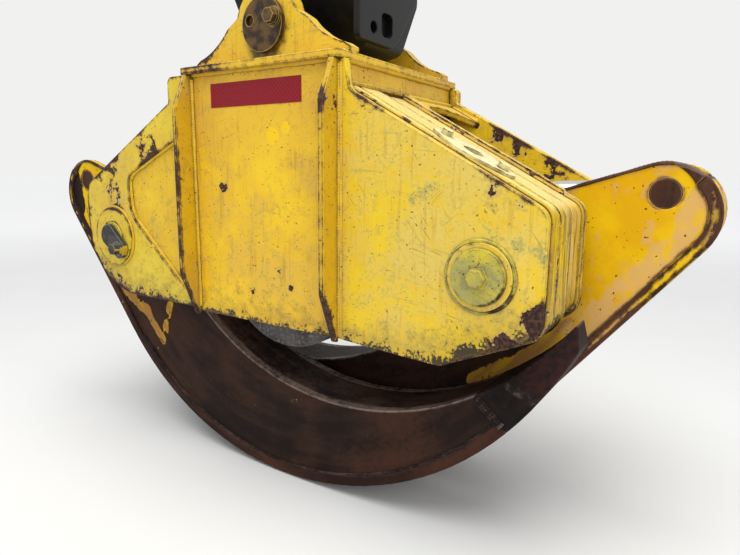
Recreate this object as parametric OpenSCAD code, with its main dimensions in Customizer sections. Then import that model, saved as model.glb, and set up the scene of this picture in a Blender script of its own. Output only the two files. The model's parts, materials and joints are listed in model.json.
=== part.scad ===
/* [Head] */
// Half the distance between the two tong pivots
pivot_half = 605; // [590:1:620]
// Depth of the head over its front and rear plates
head_depth = 576; // [570:2:590]
// Half the width of the centre box
box_half = 246; // [240:1:252]
// Height of the top plate's underside above the tong pivots
box_top = 454; // [450:1:460]
// Height of the centre box's floor, measured from the tong pivots
box_floor = -190; // [-196:1:-184]
// Half the length of the head over its wings
wing_half = 740; // [732:1:746]
// Fall of the wing tops in degrees
wing_slope = 28.7; // [27.5:0.1:30]
// Thickness of the large head plates
plate_t = 20; // [16:1:22]
// Thickness of the lighter plates
web_t = 16; // [12:1:18]
// How far the ribs stand out of the front and rear panels
rib_depth = 58; // [40:1:62]
// Lowest point of the curved belly, measured from the tong pivots
belly_low = -278; // [-284:1:-266]

/* [Hanger and rotator] */
// Height of the boom pin above the tong pivots
mount_h = 980; // [960:1:1010]
// Height of the hanger pins above the tong pivots
hanger_h = 559; // [555:1:565]
// Diameter of the hanger pins
hanger_pin_d = 70; // [60:1:76]
// Bore for the boom pin
boom_pin_d = 65; // [55:1:75]
// Diameter of the rotator's flange
rotator_d = 340; // [320:2:360]

/* [Tongs] */
// Width of a tong over its wrapper plate
tong_w = 192; // [184:1:196]
// Gap between a tong and the middle of the head
tong_gap = 24; // [22:1:28]
// Radius of a tong's outer edge
outer_r = 866; // [860:1:870]
// Radius of a tong's inner edge
inner_r = 740; // [736:1:744]
// Radius of the ear's round end
ear_r = 114; // [110:1:116]
// Radius of the tong's plates round the pivot
root_r = 144; // [136:1:146]
// Thickness of a tong's side plates
cheek_t = 25; // [20:1:27]
// Thickness of the wrapper plate
wrap_t = 28; // [24:1:30]
// How far the wrapper stands out of the side plates
wrap_lip = 7; // [5:1:12]
// Diameter of the tong pins
tong_pin_d = 90; // [80:1:96]
// Diameter of the ear pins
ear_pin_d = 66; // [60:1:70]

/* [Cylinders] */
// Bore-side diameter of the barrels
barrel_d = 110; // [100:1:116]
// Diameter of the rods
rod_d = 60; // [50:1:64]
// Length of a barrel from its anchor pin to the end of its gland
barrel_len = 761; // [755:1:765]
// Diameter of the anchor pins
anchor_pin_d = 50; // [45:1:55]

/* [Hidden] */
$fn = 96;

paint = "gold";
bare = "saddlebrown";
dark = "dimgray";

front = -head_depth / 2;
box_side = box_half + web_t / 2;
fit = 0.05;
hanger_bore = hanger_pin_d + 2 * fit;
tong_bore = tong_pin_d + 2 * fit;
boom_bore_w = 150;
hub_d = 150;

// Places in the head's own frame: x along the head, z up from the tong pivots
anchor_x = 540;
anchor_z = 120;
wing_top_x = 284;
wing_top_z = 388;
pivot_rise = 19;
front_shoulder = box_side + 68;
rear_shoulder = box_side + 24;
top_t = 18;
top_lip = 20;
face_inset = 4;
pivot_low = -178;
pivot_reach = pivot_half + 142;
cyl_y = -(tong_gap + tong_w / 2);
slope = tan(wing_slope);
function wing_z(x) = wing_top_z - (x - wing_top_x) * slope;

// Outer and inner edge of tong A are circles about these points
outer_c = [0, 214];
inner_c = [180, 341];
pivot_c = [-pivot_half, 0];
ear_c = pivot_c + [-285, 122];
ear_pin_c = pivot_c + [-286, 167];
ear_top_slope = 17.5;

// Places on the boom side, measured down from the boom pin
drum_top = -118;
drum_h = 118;
flange_t = 26;
swivel_gap = 6;

// Carries what is drawn in the head's frame down below the boom pin
module hung() {
    translate([0, 0, -mount_h]) children();
}

// The second of two equal pieces, half a turn round the head's upright axis
module half_turn() {
    rotate([0, 0, 180]) children();
}

// A flat shape in x and z, made solid from y0 to y1
module slab(y0, y1) {
    translate([0, y1, 0]) rotate([90, 0, 0]) linear_extrude(y1 - y0) children();
}

// A flat shape in y and z, made solid from x0 to x1
module side_slab(x0, x1) {
    translate([x0, 0, 0]) rotate([90, 0, 90]) linear_extrude(x1 - x0) children();
}

// A pin or bore along y through a point in x and z
module across(p, d, y0, y1) {
    translate([p[0], y1, p[1]]) rotate([90, 0, 0]) cylinder(d = d, h = y1 - y0);
}

function unit(v) = v / norm(v);

function on_circle(c, r, a) = c + r * [cos(a), sin(a)];

// Points along an arc from angle a0 to angle a1, one every few degrees
function arc(c, r, a0, a1, step = 3) =
    let(n = ceil(abs(a1 - a0) / step))
    [for (i = [0:n]) on_circle(c, r, a0 + (a1 - a0) * i / n)];

function angle_of(v) = atan2(v[1], v[0]);
function turn_between(a0, a1) = (a1 - a0 + 900) % 360 - 180;

// The arc that rounds the corner at p between its neighbours
function corner_arc(last, p, next, r) =
    let(u = unit(last - p), v = unit(next - p), half = acos(u * v) / 2)
    let(start = p + u * r / tan(half), end = p + v * r / tan(half), c = p + unit(u + v) * r / sin(half))
    let(a0 = angle_of(start - c))
    arc(c, r, a0, a0 + turn_between(a0, angle_of(end - c)), 9);

// A polygon with round corners. Each row is x, z and the corner's radius
module rounded(corners) {
    n = len(corners);
    at = [for (c = corners) [c[0], c[1]]];
    polygon([for (i = [0:n - 1])
        each (corners[i][2] > 0 ? corner_arc(at[(i + n - 1) % n], at[i], at[(i + 1) % n], corners[i][2])
            : [at[i]])]);
}

// Outline of a wing, from the centre box out to the right, drawn in by a margin
module wing_outline(inset = 0) {
    side = wing_half - inset;
    rounded([
        [box_side, box_floor - 6 + inset, 0],
        [510, -211 + inset, 40],
        [side, -112 + inset, 55],
        [side, wing_z(side) - inset, 40],
        [box_side, wing_z(box_side) - inset, 0]]);
}

// The face reaches up to the top plate in a narrow tongue beside the box
module face_outline(inset) {
    side = wing_half - inset;
    rounded([
        [box_side, box_floor - 6 + inset, 0],
        [510, -211 + inset, 40],
        [side, -112 + inset, 55],
        [side, wing_z(side) - inset, 40],
        [280, wing_z(280) - inset, 30],
        [267, box_top, 0],
        [box_side, box_top, 0]]);
}

// The wing outline drawn in by the thickness of the shell
module wing_hollow() {
    rounded([
        [box_side - 1, box_floor + web_t, 0],
        [508, -211 + web_t, 30],
        [wing_half - 24, -112 + web_t - 6, 45],
        [wing_half - 24, wing_z(wing_half - 24) - web_t * 1.15, 30],
        [box_side - 1, wing_z(box_side - 1) - web_t * 1.15, 0]]);
}

// Outline of a thin pivot plate, from the centre box out to the right, with a shoulder at the top
module pivot_outline(shoulder) {
    rounded([
        [box_side, pivot_low, 0],
        [pivot_reach, pivot_low, 228],
        [pivot_reach, wing_z(pivot_reach) + pivot_rise, 78],
        [shoulder, wing_z(shoulder) + pivot_rise, 8],
        [shoulder, box_top, 18],
        [box_side, box_top, 0]]);
}

// The three-cornered window in a pivot plate's doubler
module doubler_window() {
    rounded([
        [278, 300, 8],
        [528, 186, 45],
        [523, 72, 100],
        [292, -130, 8]]);
}

// Outline of a hanger lug, round about its pin and flared down to the top plate
module lug_outline() {
    base = box_top + top_t;
    difference() {
        union() {
            translate([0, hanger_h]) circle(r = 100);
            polygon([[-256, base], [256, base], [256, base + 14], [98, 585], [-98, 585], [-256, base + 14]]);
        }
        for (s = [-1, 1]) translate([s * 295, 702]) circle(r = 213);
        translate([-200, base - 100]) square([400, 100]);
    }
}

// Side wall of the centre box, with a window on each side for a cylinder to pass
module side_wall_plate() {
    difference() {
        side_slab(box_half - web_t / 2, box_side)
            translate([front + web_t, box_floor]) square([head_depth - 2 * web_t, box_top - box_floor]);
        for (y = [cyl_y, -cyl_y])
            side_slab(box_half - web_t, box_half + web_t)
                rounded([[y - 84, 30, 40], [y + 84, 30, 40], [y + 84, 345, 40], [y - 84, 345, 40]]);
    }
}

module panel_plate() {
    slab(front, front + web_t)
        translate([-box_side, box_floor]) square([2 * box_side, box_top - box_floor]);
}

// Two upright ribs, drawn to a point at the foot and cut back under the top plate
module rib_pair() {
    for (s = [-1, 1])
        translate([s * (box_half - 3), 0, 0]) side_slab(-web_t / 2, web_t / 2)
            rounded([
                [front, box_floor - 8, 0],
                [front, box_top, 0],
                [front - top_lip, box_top, 0],
                [front - rib_depth, box_top - 90, 20],
                [front - rib_depth, -76, 20],
                [front - 10, box_floor - 8, 4]]);
}

module wing_face_plate() {
    difference() {
        union() {
            slab(front, front + plate_t) face_outline(face_inset);
            across([pivot_half, 0], 142, front - 8, front + plate_t);
        }
        across([pivot_half, 0], tong_pin_d, front - 9, front + plate_t + 1);
        across([anchor_x, anchor_z], anchor_pin_d, front + plate_t / 2, front + plate_t + 1);
    }
}

// The shell is rolled round the wing in three bands, with a groove between each two
band_ends = [front + plate_t, -226, -135, -plate_t];
groove_w = 8;
module wing_shell_strip() {
    difference() {
        union() {
            slab(band_ends[0], band_ends[1]) wing_outline();
            slab(band_ends[1], band_ends[1] + groove_w) wing_outline(10);
            slab(band_ends[1] + groove_w, band_ends[2]) wing_outline();
            slab(band_ends[2], band_ends[2] + groove_w) wing_outline(12);
            slab(band_ends[2] + groove_w, band_ends[3]) wing_outline(8);
        }
        slab(front, 0) wing_hollow();
        on_wing_top(cover_mid) translate([0, 0, -60]) cylinder(d = cover_hole_d, h = 65);
    }
}

module wing_back_plate() {
    difference() {
        slab(-plate_t, 0) union() {
            wing_outline();
            rounded([[box_side, 0, 0], [690, 0, 0], [690, wing_z(690) + 5, 12],
                [box_side, wing_z(box_side) + 5, 0]]);
        }
        across([pivot_half, 0], tong_pin_d, -plate_t - 1, 1);
        across([anchor_x, anchor_z], anchor_pin_d, -plate_t - 1, -plate_t / 2);
    }
}

// Place of the cover's middle, along and across the sloping top
cover_mid = [544, -212];
cover_hole_d = 46;
cover_t = 7;
module on_wing_top(at) {
    translate([at[0], at[1], wing_z(at[0])]) rotate([0, wing_slope, 0]) children();
}

// The cover is a lozenge with a hole in the middle and a bolt at each end
module wing_cover_plate() {
    bolt_x = 74;
    on_wing_top(cover_mid) {
        difference() {
            linear_extrude(cover_t) rounded([
                [-130, 0, 22], [-20, -60, 60], [20, -60, 60], [130, 0, 22], [20, 60, 60], [-20, 60, 60]]);
            translate([0, 0, -1]) cylinder(d = cover_hole_d, h = 12);
        }
        for (s = [-1, 1]) translate([s * bolt_x, 0, cover_t]) cylinder(d = 28, h = 11, $fn = 6);
    }
}

module thin_pivot_plate(shoulder) {
    difference() {
        slab(front, front + plate_t) mirror([1, 0]) pivot_outline(shoulder);
        across(pivot_c, tong_pin_d, front - 1, front + plate_t + 1);
    }
}

module pivot_doubler_plate(shoulder) {
    difference() {
        union() {
            slab(front - 12, front) mirror([1, 0]) difference() {
                pivot_outline(shoulder);
                doubler_window();
                translate([box_side - 28, -300]) square([35, 1000]);
            }
            across(pivot_c, 178, front - 22, front - 12);
        }
        across(pivot_c, tong_pin_d, front - 23, front + 1);
    }
}

// A plate in the slope of the wings, hollowed out in an arc, that ties the thin pivot plate to the box
module slot_bridge_plate() {
    reach = 110;
    width = -front - plate_t;
    half_turn() on_wing_top([box_side, 0]) translate([0, 0, -web_t]) linear_extrude(web_t) difference() {
        translate([10, 0]) square([reach, width]);
        translate([214, 122]) circle(r = 174);
    }
}

module lug_plate() {
    difference() {
        slab(front + 36, front + 72) lug_outline();
        across([0, hanger_h], hanger_pin_d, front + 30, front + 80);
    }
}

// Hanger pin with its round flange and the two holes for bolts, of which one bolt is gone
module hanger_pin_solid(bolts) {
    difference() {
        union() {
            across([0, hanger_h], hanger_pin_d, front + 36, front + 210);
            across([0, hanger_h], 130, front + 22, front + 36);
        }
        for (s = [-1, 1]) across([s * 40, hanger_h + 12], 26, front + 20, front + 37);
    }
    for (s = bolts) {
        across([s * 40, hanger_h + 12], 46, front + 16, front + 22);
        across([s * 40, hanger_h + 12], 26, front + 16, front + 36);
        translate([s * 40, front + 16, hanger_h + 12]) rotate([90, 0, 0]) cylinder(d = 36, h = 16, $fn = 6);
    }
}

// Tong pin A runs from the thin front plate to its capped end on the far wing
module tong_pin_solid() {
    across(pivot_c, tong_pin_d, front - 24, -front + 8);
    across(pivot_c, 119, -front + 8, -front + 16);
    translate([pivot_c[0], -front + 16, 0]) rotate([-90, 0, 0]) cylinder(d = 42, h = 16, $fn = 6);
}

// The flag lies over the pin's front end and is held by one bolt
module pin_flag_solid() {
    reach = 56;
    lean = -38;
    bolt = pivot_c + reach * [cos(lean), sin(lean)];
    slab(front - 38, front - 24) translate(pivot_c) rotate(lean)
        rounded([[-38, -36, 30], [84, -26, 22], [84, 26, 22], [-38, 36, 30]]);
    across(bolt, 44, front - 44, front - 38);
    translate([bolt[0], front - 44, bolt[1]]) rotate([90, 0, 0]) cylinder(d = 36, h = 16, $fn = 6);
}

module anchor_pin_solid() {
    across([anchor_x, anchor_z], anchor_pin_d, front + plate_t / 2, -plate_t / 2);
}

// Edges of tong A. The straight outer edge is the common tangent of the outer circle and the ear
span_v = ear_c - outer_c;
tangent_angle = angle_of(span_v) + acos((outer_r - ear_r) / norm(span_v));
ear_top_angle = -270 - ear_top_slope;
ear_wrap_angle = -228;
tip_angle = -25.6;
weld_angle = -41;
tong_y0 = -(tong_gap + tong_w);
tong_y1 = -tong_gap;

// The inner edge starts where the round of the root meets the inner circle
root_v = inner_c - pivot_c;
root_spread = acos((root_v * root_v + root_r * root_r - inner_r * inner_r) / (2 * norm(root_v) * root_r));
root_end = angle_of(root_v) - root_spread - 360;
inner_start = angle_of(on_circle(pivot_c, root_r, root_end) - inner_c);

// Angle about the inner circle's middle of the point that a ray from the outer circle's middle meets
function inner_angle(a) =
    let(d = outer_c - inner_c, u = [cos(a), sin(a)], b = -(d * u))
    let(t = b + sqrt(b * b - d * d + inner_r * inner_r))
    angle_of(outer_c + t * u - inner_c);

// Outer side of tong A from the tip's weld to the end of the ear's wrapper, drawn in by a margin
function outer_side(inset) = concat(
    arc(outer_c, outer_r - inset, weld_angle, tangent_angle),
    arc(ear_c, ear_r - inset, tangent_angle, ear_wrap_angle, 9));

function back_to_front(list) = [for (i = [len(list) - 1:-1:0]) list[i]];

module tong_cheeks_solid() {
    for (y = [tong_y0 + wrap_lip, tong_y1 - wrap_lip - cheek_t])
        difference() {
            slab(y, y + cheek_t) polygon(concat(
                outer_side(wrap_t),
                arc(ear_c, ear_r, ear_wrap_angle, ear_top_angle, 9),
                arc(pivot_c, root_r, ear_top_angle, root_end, 6),
                arc(inner_c, inner_r, inner_start, inner_angle(weld_angle))));
            across(pivot_c, hub_d, y - 1, y + cheek_t + 1);
            across(ear_pin_c, ear_pin_d, y - 1, y + cheek_t + 1);
        }
}

// The wrapper closes the outer side from the weld of the tip round the ear's end
module tong_wrapper_solid() {
    slab(tong_y0, tong_y1) polygon(concat(outer_side(0), back_to_front(outer_side(wrap_t))));
}

// The liner closes the inner side, between the cheeks
module tong_liner_solid() {
    liner_t = 20;
    start = inner_start + 4;
    slab(tong_y0 + wrap_lip + cheek_t, tong_y1 - wrap_lip - cheek_t) polygon(concat(
        arc(inner_c, inner_r, start, inner_angle(weld_angle)),
        arc(inner_c, inner_r + liner_t, inner_angle(weld_angle), start)));
}

// The tip is one solid tooth: it follows both edges from its weld and narrows from the fold to its end
module tong_tip_solid() {
    mid = (tong_y0 + tong_y1) / 2;
    fold = [681, -258];
    tooth = 190;
    end_half = 24;
    intersection() {
        slab(tong_y0, tong_y1) polygon(concat(
            arc(outer_c, outer_r, tip_angle, weld_angle),
            arc(inner_c, inner_r, inner_angle(weld_angle), inner_angle(tip_angle + 3.2))));
        translate([fold[0], 0, fold[1]]) rotate([0, -62, 0]) translate([0, 0, -300])
            linear_extrude(600) polygon([
                [-400, tong_y0 - 1], [0, tong_y0 - 1], [tooth, mid - end_half],
                [tooth, mid + end_half], [0, tong_y1 + 1], [-400, tong_y1 + 1]]);
    }
}

module tong_hub_solid() {
    difference() {
        union() {
            across(pivot_c, hub_d, front + plate_t + 6, -5);
            for (y = [tong_y0 + wrap_lip - 12, tong_y1 - wrap_lip]) across(pivot_c, 230, y, y + 12);
        }
        across(pivot_c, tong_bore, front, 1);
    }
}

module ear_pin_solid() {
    for (y = [tong_y0 + wrap_lip, tong_y1 - wrap_lip - cheek_t]) across(ear_pin_c, ear_pin_d, y, y + cheek_t);
}

// Cylinder A lies along the line from its anchor in the wing to the ear of tong A
cyl_run = [anchor_x, anchor_z] - ear_pin_c;
cyl_tilt = atan2(cyl_run[1], cyl_run[0]);
closed_len = norm(cyl_run);
module on_cylinder() {
    translate([anchor_x, cyl_y, anchor_z]) rotate([0, -cyl_tilt, 0]) children();
}

module barrel_solid() {
    on_cylinder() difference() {
        union() {
            translate([-barrel_len + 60, 0, 0]) rotate([0, 90, 0])
                cylinder(d = barrel_d, h = barrel_len - 100);
            translate([-barrel_len, 0, 0]) rotate([0, 90, 0]) cylinder(d = barrel_d + 14, h = 60);
            translate([0, 45, 0]) rotate([90, 0, 0]) cylinder(d = 108, h = 90);
            for (x = [-90, -barrel_len + 90]) translate([x, 0, 45]) cylinder(d = 36, h = 26);
        }
        translate([0, 50, 0]) rotate([90, 0, 0]) cylinder(d = anchor_pin_d + 2 * fit, h = 100);
        translate([-barrel_len - 1, 0, 0]) rotate([0, 90, 0])
            cylinder(d = rod_d + 2 * fit, h = barrel_len - 80);
    }
}

module rod_solid() {
    on_cylinder() {
        translate([-closed_len, 0, 0]) rotate([0, 90, 0])
            cylinder(d = rod_d, h = closed_len - barrel_len + 96);
        translate([-closed_len, 50, 0]) rotate([90, 0, 0]) cylinder(d = ear_pin_d + 20, h = 100);
    }
}

module boom_link() color(dark) difference() {
    union() {
        rotate([0, 90, 0]) cylinder(d = 130, h = boom_bore_w, center = true);
        slab(-65, 65) polygon([[-boom_bore_w / 2, 0], [boom_bore_w / 2, 0],
            [boom_bore_w / 2, -46], [boom_bore_w / 2 + 30, drum_top + flange_t + swivel_gap],
            [-boom_bore_w / 2 - 30, drum_top + flange_t + swivel_gap], [-boom_bore_w / 2, -46]]);
        translate([0, 0, drum_top - 80]) cylinder(d = 120, h = 100);
    }
    rotate([0, 90, 0]) cylinder(d = boom_pin_d, h = boom_bore_w + 80, center = true);
}

module swivel_plate() color(dark) difference() {
    translate([0, 0, drum_top + swivel_gap]) cylinder(d = rotator_d, h = flange_t);
    translate([0, 0, drum_top]) cylinder(d = 120, h = 60);
}

module rotator_drum() color(dark) difference() {
    union() {
        translate([0, 0, drum_top - flange_t]) cylinder(d = rotator_d, h = flange_t);
        translate([0, 0, drum_top - drum_h]) cylinder(d = 290, h = drum_h);
    }
    translate([0, 0, drum_top - 90]) cylinder(d = 120 + 2 * fit, h = 100);
}

// The block narrows downwards, so that the head can swing under it
block_half = 192;
block_top = mount_h + drum_top - drum_h;
module rotator_block() color(dark) hung() difference() {
    union() {
        intersection() {
            slab(-170, 170) rounded([
                [-block_half, block_top, 0], [-block_half, 522, 24], [-118, 504, 30],
                [118, 504, 30], [block_half, 522, 24], [block_half, block_top, 0]]);
            side_slab(-block_half, block_half) rounded([
                [-168, block_top, 0], [-168, 668, 30], [-74, 504, 12],
                [74, 504, 12], [168, 668, 30], [168, block_top, 0]]);
        }
        across([0, hanger_h], 108, -196, 196);
    }
    across([0, hanger_h], hanger_bore, front, -front);
}

// Plate on the block's right side, with a hole and a slot
module rotator_bracket() color(dark) hung() difference() {
    side_slab(block_half, block_half + 20) rounded([
        [-150, 526, 12], [4, 526, 16], [34, 548, 12], [128, 665, 20], [128, 736, 12], [-150, 736, 12]]);
    side_slab(block_half - 1, block_half + 21) rounded([
        [-50, 548, 16], [4, 548, 16], [4, 606, 16], [-50, 606, 16]]);
    translate([block_half - 1, -86, 562]) rotate([0, 90, 0]) cylinder(d = 30, h = 22);
}

// The top plate stands out all round the box, with round corners
module top_plate() color(paint) hung() translate([0, 0, box_top]) linear_extrude(top_t) rounded([
    [-264, front - top_lip, 14], [264, front - top_lip, 14],
    [264, -front + top_lip, 26], [-264, -front + top_lip, 26]]);

module front_panel() color(paint) hung() panel_plate();
module rear_panel() color(paint) hung() half_turn() panel_plate();
module right_side_wall() color(paint) hung() side_wall_plate();
module left_side_wall() color(paint) hung() half_turn() side_wall_plate();
module front_ribs() color(paint) hung() rib_pair();
module rear_ribs() color(paint) hung() half_turn() rib_pair();

// Outline of the curved belly under the middle of the centre box, drawn in by a margin
module belly_slab(margin) {
    half_w = 183;
    set_back = 96;
    drop = box_floor - belly_low;
    r = (half_w * half_w + drop * drop) / (2 * drop);
    slab(front + set_back + margin, -front - set_back - margin) intersection() {
        translate([0, belly_low + r]) circle(r = r - margin, $fn = 200);
        translate([-half_w, -600]) square([2 * half_w, 600 + box_floor + margin]);
    }
}

// The centre box's floor, open above the belly, which hangs under it as a trough with closed ends
module belly_plate() color(dark) hung() difference() {
    union() {
        belly_slab(0);
        translate([-box_half + web_t / 2, front + web_t, box_floor])
            cube([2 * box_half - web_t, head_depth - 2 * web_t, 12]);
    }
    belly_slab(web_t);
}

module front_wing_face() color(paint) hung() wing_face_plate();
module front_wing_shell() color(paint) hung() wing_shell_strip();
module front_wing_back() color(paint) hung() wing_back_plate();
module front_wing_cover() color(paint) hung() wing_cover_plate();
module rear_wing_face() color(paint) hung() half_turn() wing_face_plate();
module rear_wing_shell() color(paint) hung() half_turn() wing_shell_strip();
module rear_wing_back() color(paint) hung() half_turn() wing_back_plate();
module rear_wing_cover() color(paint) hung() half_turn() wing_cover_plate();
module front_pivot_plate() color(paint) hung() thin_pivot_plate(front_shoulder);
module front_pivot_doubler() color(paint) hung() pivot_doubler_plate(front_shoulder);
module front_slot_bridge() color(paint) hung() slot_bridge_plate();
module rear_pivot_plate() color(paint) hung() half_turn() thin_pivot_plate(rear_shoulder);
module rear_pivot_doubler() color(paint) hung() half_turn() pivot_doubler_plate(rear_shoulder);
module rear_slot_bridge() color(paint) hung() half_turn() slot_bridge_plate();
module front_hanger_lug() color(paint) hung() lug_plate();
module rear_hanger_lug() color(paint) hung() half_turn() lug_plate();
module front_hanger_pin() color(dark) hung() hanger_pin_solid([1]);
module rear_hanger_pin() color(dark) hung() half_turn() hanger_pin_solid([-1, 1]);
module tong_pin_a() color(dark) hung() tong_pin_solid();
module tong_pin_b() color(dark) hung() half_turn() tong_pin_solid();
module pin_flag_a() color(dark) hung() pin_flag_solid();
module pin_flag_b() color(dark) hung() half_turn() pin_flag_solid();
module anchor_pin_a() color(dark) hung() anchor_pin_solid();
module anchor_pin_b() color(dark) hung() half_turn() anchor_pin_solid();
module reflective_strip() color("firebrick") hung()
    translate([-163, front - 1, 366]) cube([306, 1, 60]);

module tong_a_cheeks() color(bare) hung() tong_cheeks_solid();
module tong_a_wrapper() color(bare) hung() tong_wrapper_solid();
module tong_a_liner() color(bare) hung() tong_liner_solid();
module tong_a_tip() color(bare) hung() tong_tip_solid();
module tong_a_hub() color(paint) hung() tong_hub_solid();
module tong_a_ear_pin() color(bare) hung() ear_pin_solid();
module tong_b_cheeks() color(bare) hung() half_turn() tong_cheeks_solid();
module tong_b_wrapper() color(bare) hung() half_turn() tong_wrapper_solid();
module tong_b_liner() color(bare) hung() half_turn() tong_liner_solid();
module tong_b_tip() color(bare) hung() half_turn() tong_tip_solid();
module tong_b_hub() color(paint) hung() half_turn() tong_hub_solid();
module tong_b_ear_pin() color(bare) hung() half_turn() ear_pin_solid();
module barrel_a() color(dark) hung() barrel_solid();
module rod_a() color("silver") hung() rod_solid();
module barrel_b() color(dark) hung() half_turn() barrel_solid();
module rod_b() color("silver") hung() half_turn() rod_solid();

boom_link();
swivel_plate();
rotator_drum();
rotator_block();
rotator_bracket();
top_plate();
front_panel();
rear_panel();
right_side_wall();
left_side_wall();
front_ribs();
rear_ribs();
belly_plate();
front_wing_face();
front_wing_shell();
front_wing_back();
front_wing_cover();
rear_wing_face();
rear_wing_shell();
rear_wing_back();
rear_wing_cover();
front_pivot_plate();
front_pivot_doubler();
front_slot_bridge();
rear_pivot_plate();
rear_pivot_doubler();
rear_slot_bridge();
front_hanger_lug();
rear_hanger_lug();
front_hanger_pin();
rear_hanger_pin();
tong_pin_a();
tong_pin_b();
pin_flag_a();
pin_flag_b();
anchor_pin_a();
anchor_pin_b();
reflective_strip();
tong_a_cheeks();
tong_a_wrapper();
tong_a_liner();
tong_a_tip();
tong_a_hub();
tong_a_ear_pin();
tong_b_cheeks();
tong_b_wrapper();
tong_b_liner();
tong_b_tip();
tong_b_hub();
tong_b_ear_pin();
barrel_a();
rod_a();
barrel_b();
rod_b();
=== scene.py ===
"""Log grapple of a skidder: weathered head, tongs, cylinders, pins and rotator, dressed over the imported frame."""
import json
import logging
import math
from dataclasses import dataclass, field
from enum import Enum
from typing import Callable, Optional, Sequence, Union

import bmesh
import bpy
import numpy as np
from mathutils import Matrix, Vector

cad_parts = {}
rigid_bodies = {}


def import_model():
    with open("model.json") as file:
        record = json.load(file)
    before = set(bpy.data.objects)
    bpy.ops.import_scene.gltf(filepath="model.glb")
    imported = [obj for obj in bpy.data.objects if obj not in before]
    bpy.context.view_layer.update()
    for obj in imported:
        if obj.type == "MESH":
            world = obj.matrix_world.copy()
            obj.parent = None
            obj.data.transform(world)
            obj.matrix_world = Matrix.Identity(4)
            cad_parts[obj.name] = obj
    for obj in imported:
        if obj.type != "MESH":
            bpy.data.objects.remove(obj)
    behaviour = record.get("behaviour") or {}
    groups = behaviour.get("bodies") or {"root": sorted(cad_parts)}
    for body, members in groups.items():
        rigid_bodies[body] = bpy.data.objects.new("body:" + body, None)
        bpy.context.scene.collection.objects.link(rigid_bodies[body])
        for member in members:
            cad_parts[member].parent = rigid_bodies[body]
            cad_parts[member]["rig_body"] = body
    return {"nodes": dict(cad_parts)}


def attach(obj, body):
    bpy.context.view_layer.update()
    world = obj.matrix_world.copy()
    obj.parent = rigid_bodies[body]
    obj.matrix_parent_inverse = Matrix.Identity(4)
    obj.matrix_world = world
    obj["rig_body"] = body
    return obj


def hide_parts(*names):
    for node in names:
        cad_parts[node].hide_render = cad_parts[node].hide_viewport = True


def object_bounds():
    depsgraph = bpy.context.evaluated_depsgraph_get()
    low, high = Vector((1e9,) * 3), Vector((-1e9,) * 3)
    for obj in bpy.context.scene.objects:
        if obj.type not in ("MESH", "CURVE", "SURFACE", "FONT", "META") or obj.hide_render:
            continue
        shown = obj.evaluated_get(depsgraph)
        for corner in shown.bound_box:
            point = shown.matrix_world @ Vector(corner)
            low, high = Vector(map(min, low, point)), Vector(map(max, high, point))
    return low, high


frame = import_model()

CAD_BOX = [list(corner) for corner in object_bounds()]
log = logging.getLogger("grapple")
MM = 0.001
PIVOT_DROP = 980.0  # the tong pivots lie this far under the boom pin, in mm
BEAD_STEP = 2.4  # length of one step along a weld bead, in mm
BEAD_SIDES = 8
NEW_SHARP, CAD_SHARP = 40.0, 32.0  # edges that turn by more degrees stay sharp, on new pieces and on copies
MERGE = 0.00002  # loose triangles' corners closer than this many metres are one
RAYS = 8  # samples of each edge and corner measure
OUTLINE_STEP, CIRCLE_STEP = 3.0, 4.0  # distance between the points of an outline and of a circle, in mm
WASHER_SIDES, HEX_POINTS = 36, 48  # points round a washer and round a hex head
SIDES = (("front", False), ("rear", True))  # the rear's pieces are the front's after half a turn
Socket = bpy.types.NodeSocket
Value = Union[float, Socket]
Colour = tuple[float, float, float, float]
Row = tuple[float, float, float]  # x, z and corner radius in mm
Place = tuple[float, float]  # x and z in metres
Line = tuple[Place, Place, float]  # start, end and reach in metres
Spot = tuple[float, float, float, float]  # x, z and reach in metres, and a strength
Foot = tuple[float, float, float]  # height of a lower edge, the x beyond which it rises, both in metres, and its slope
WING_FOOT: Foot = (-1.178, 0.49, 0.42)
PIVOT_FOOT: Foot = (-1.156, 0.53, 0.46)
BOX_FOOT: Foot = (-1.17, 0.5, 0.0)


def linear(code: str) -> Colour:
    """Turns an sRGB hex value into linear colour.

    Args:
        code: Six hex digits after a hash sign.

    Returns:
        Linear red, green, blue and an alpha of 1.
    """
    def channel(text: str) -> float:
        """One channel: divided by 12.92 near black, else the 2.4 power curve."""
        value = int(text, 16) / 255
        return value / 12.92 if value <= 0.04045 else ((value + 0.055) / 1.055) ** 2.4

    return channel(code[1:3]), channel(code[3:5]), channel(code[5:7]), 1.0


def add_node(tree: bpy.types.NodeTree, kind: str, inputs: Optional[dict] = None, **settings: object) -> bpy.types.Node:
    """Adds a node with its settings, values and links.

    Args:
        tree: The node tree.
        kind: The node's type name.
        inputs: Socket name or number to a value, or to a socket that is linked in.
        settings: The node's own properties.

    Returns:
        The new node.
    """
    node = tree.nodes.new(kind)
    for key, value in settings.items():
        setattr(node, key, value)
    for key, value in (inputs or {}).items():
        if isinstance(value, Socket):
            tree.links.new(value, node.inputs[key])
        else:
            node.inputs[key].default_value = value
    return node


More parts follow.
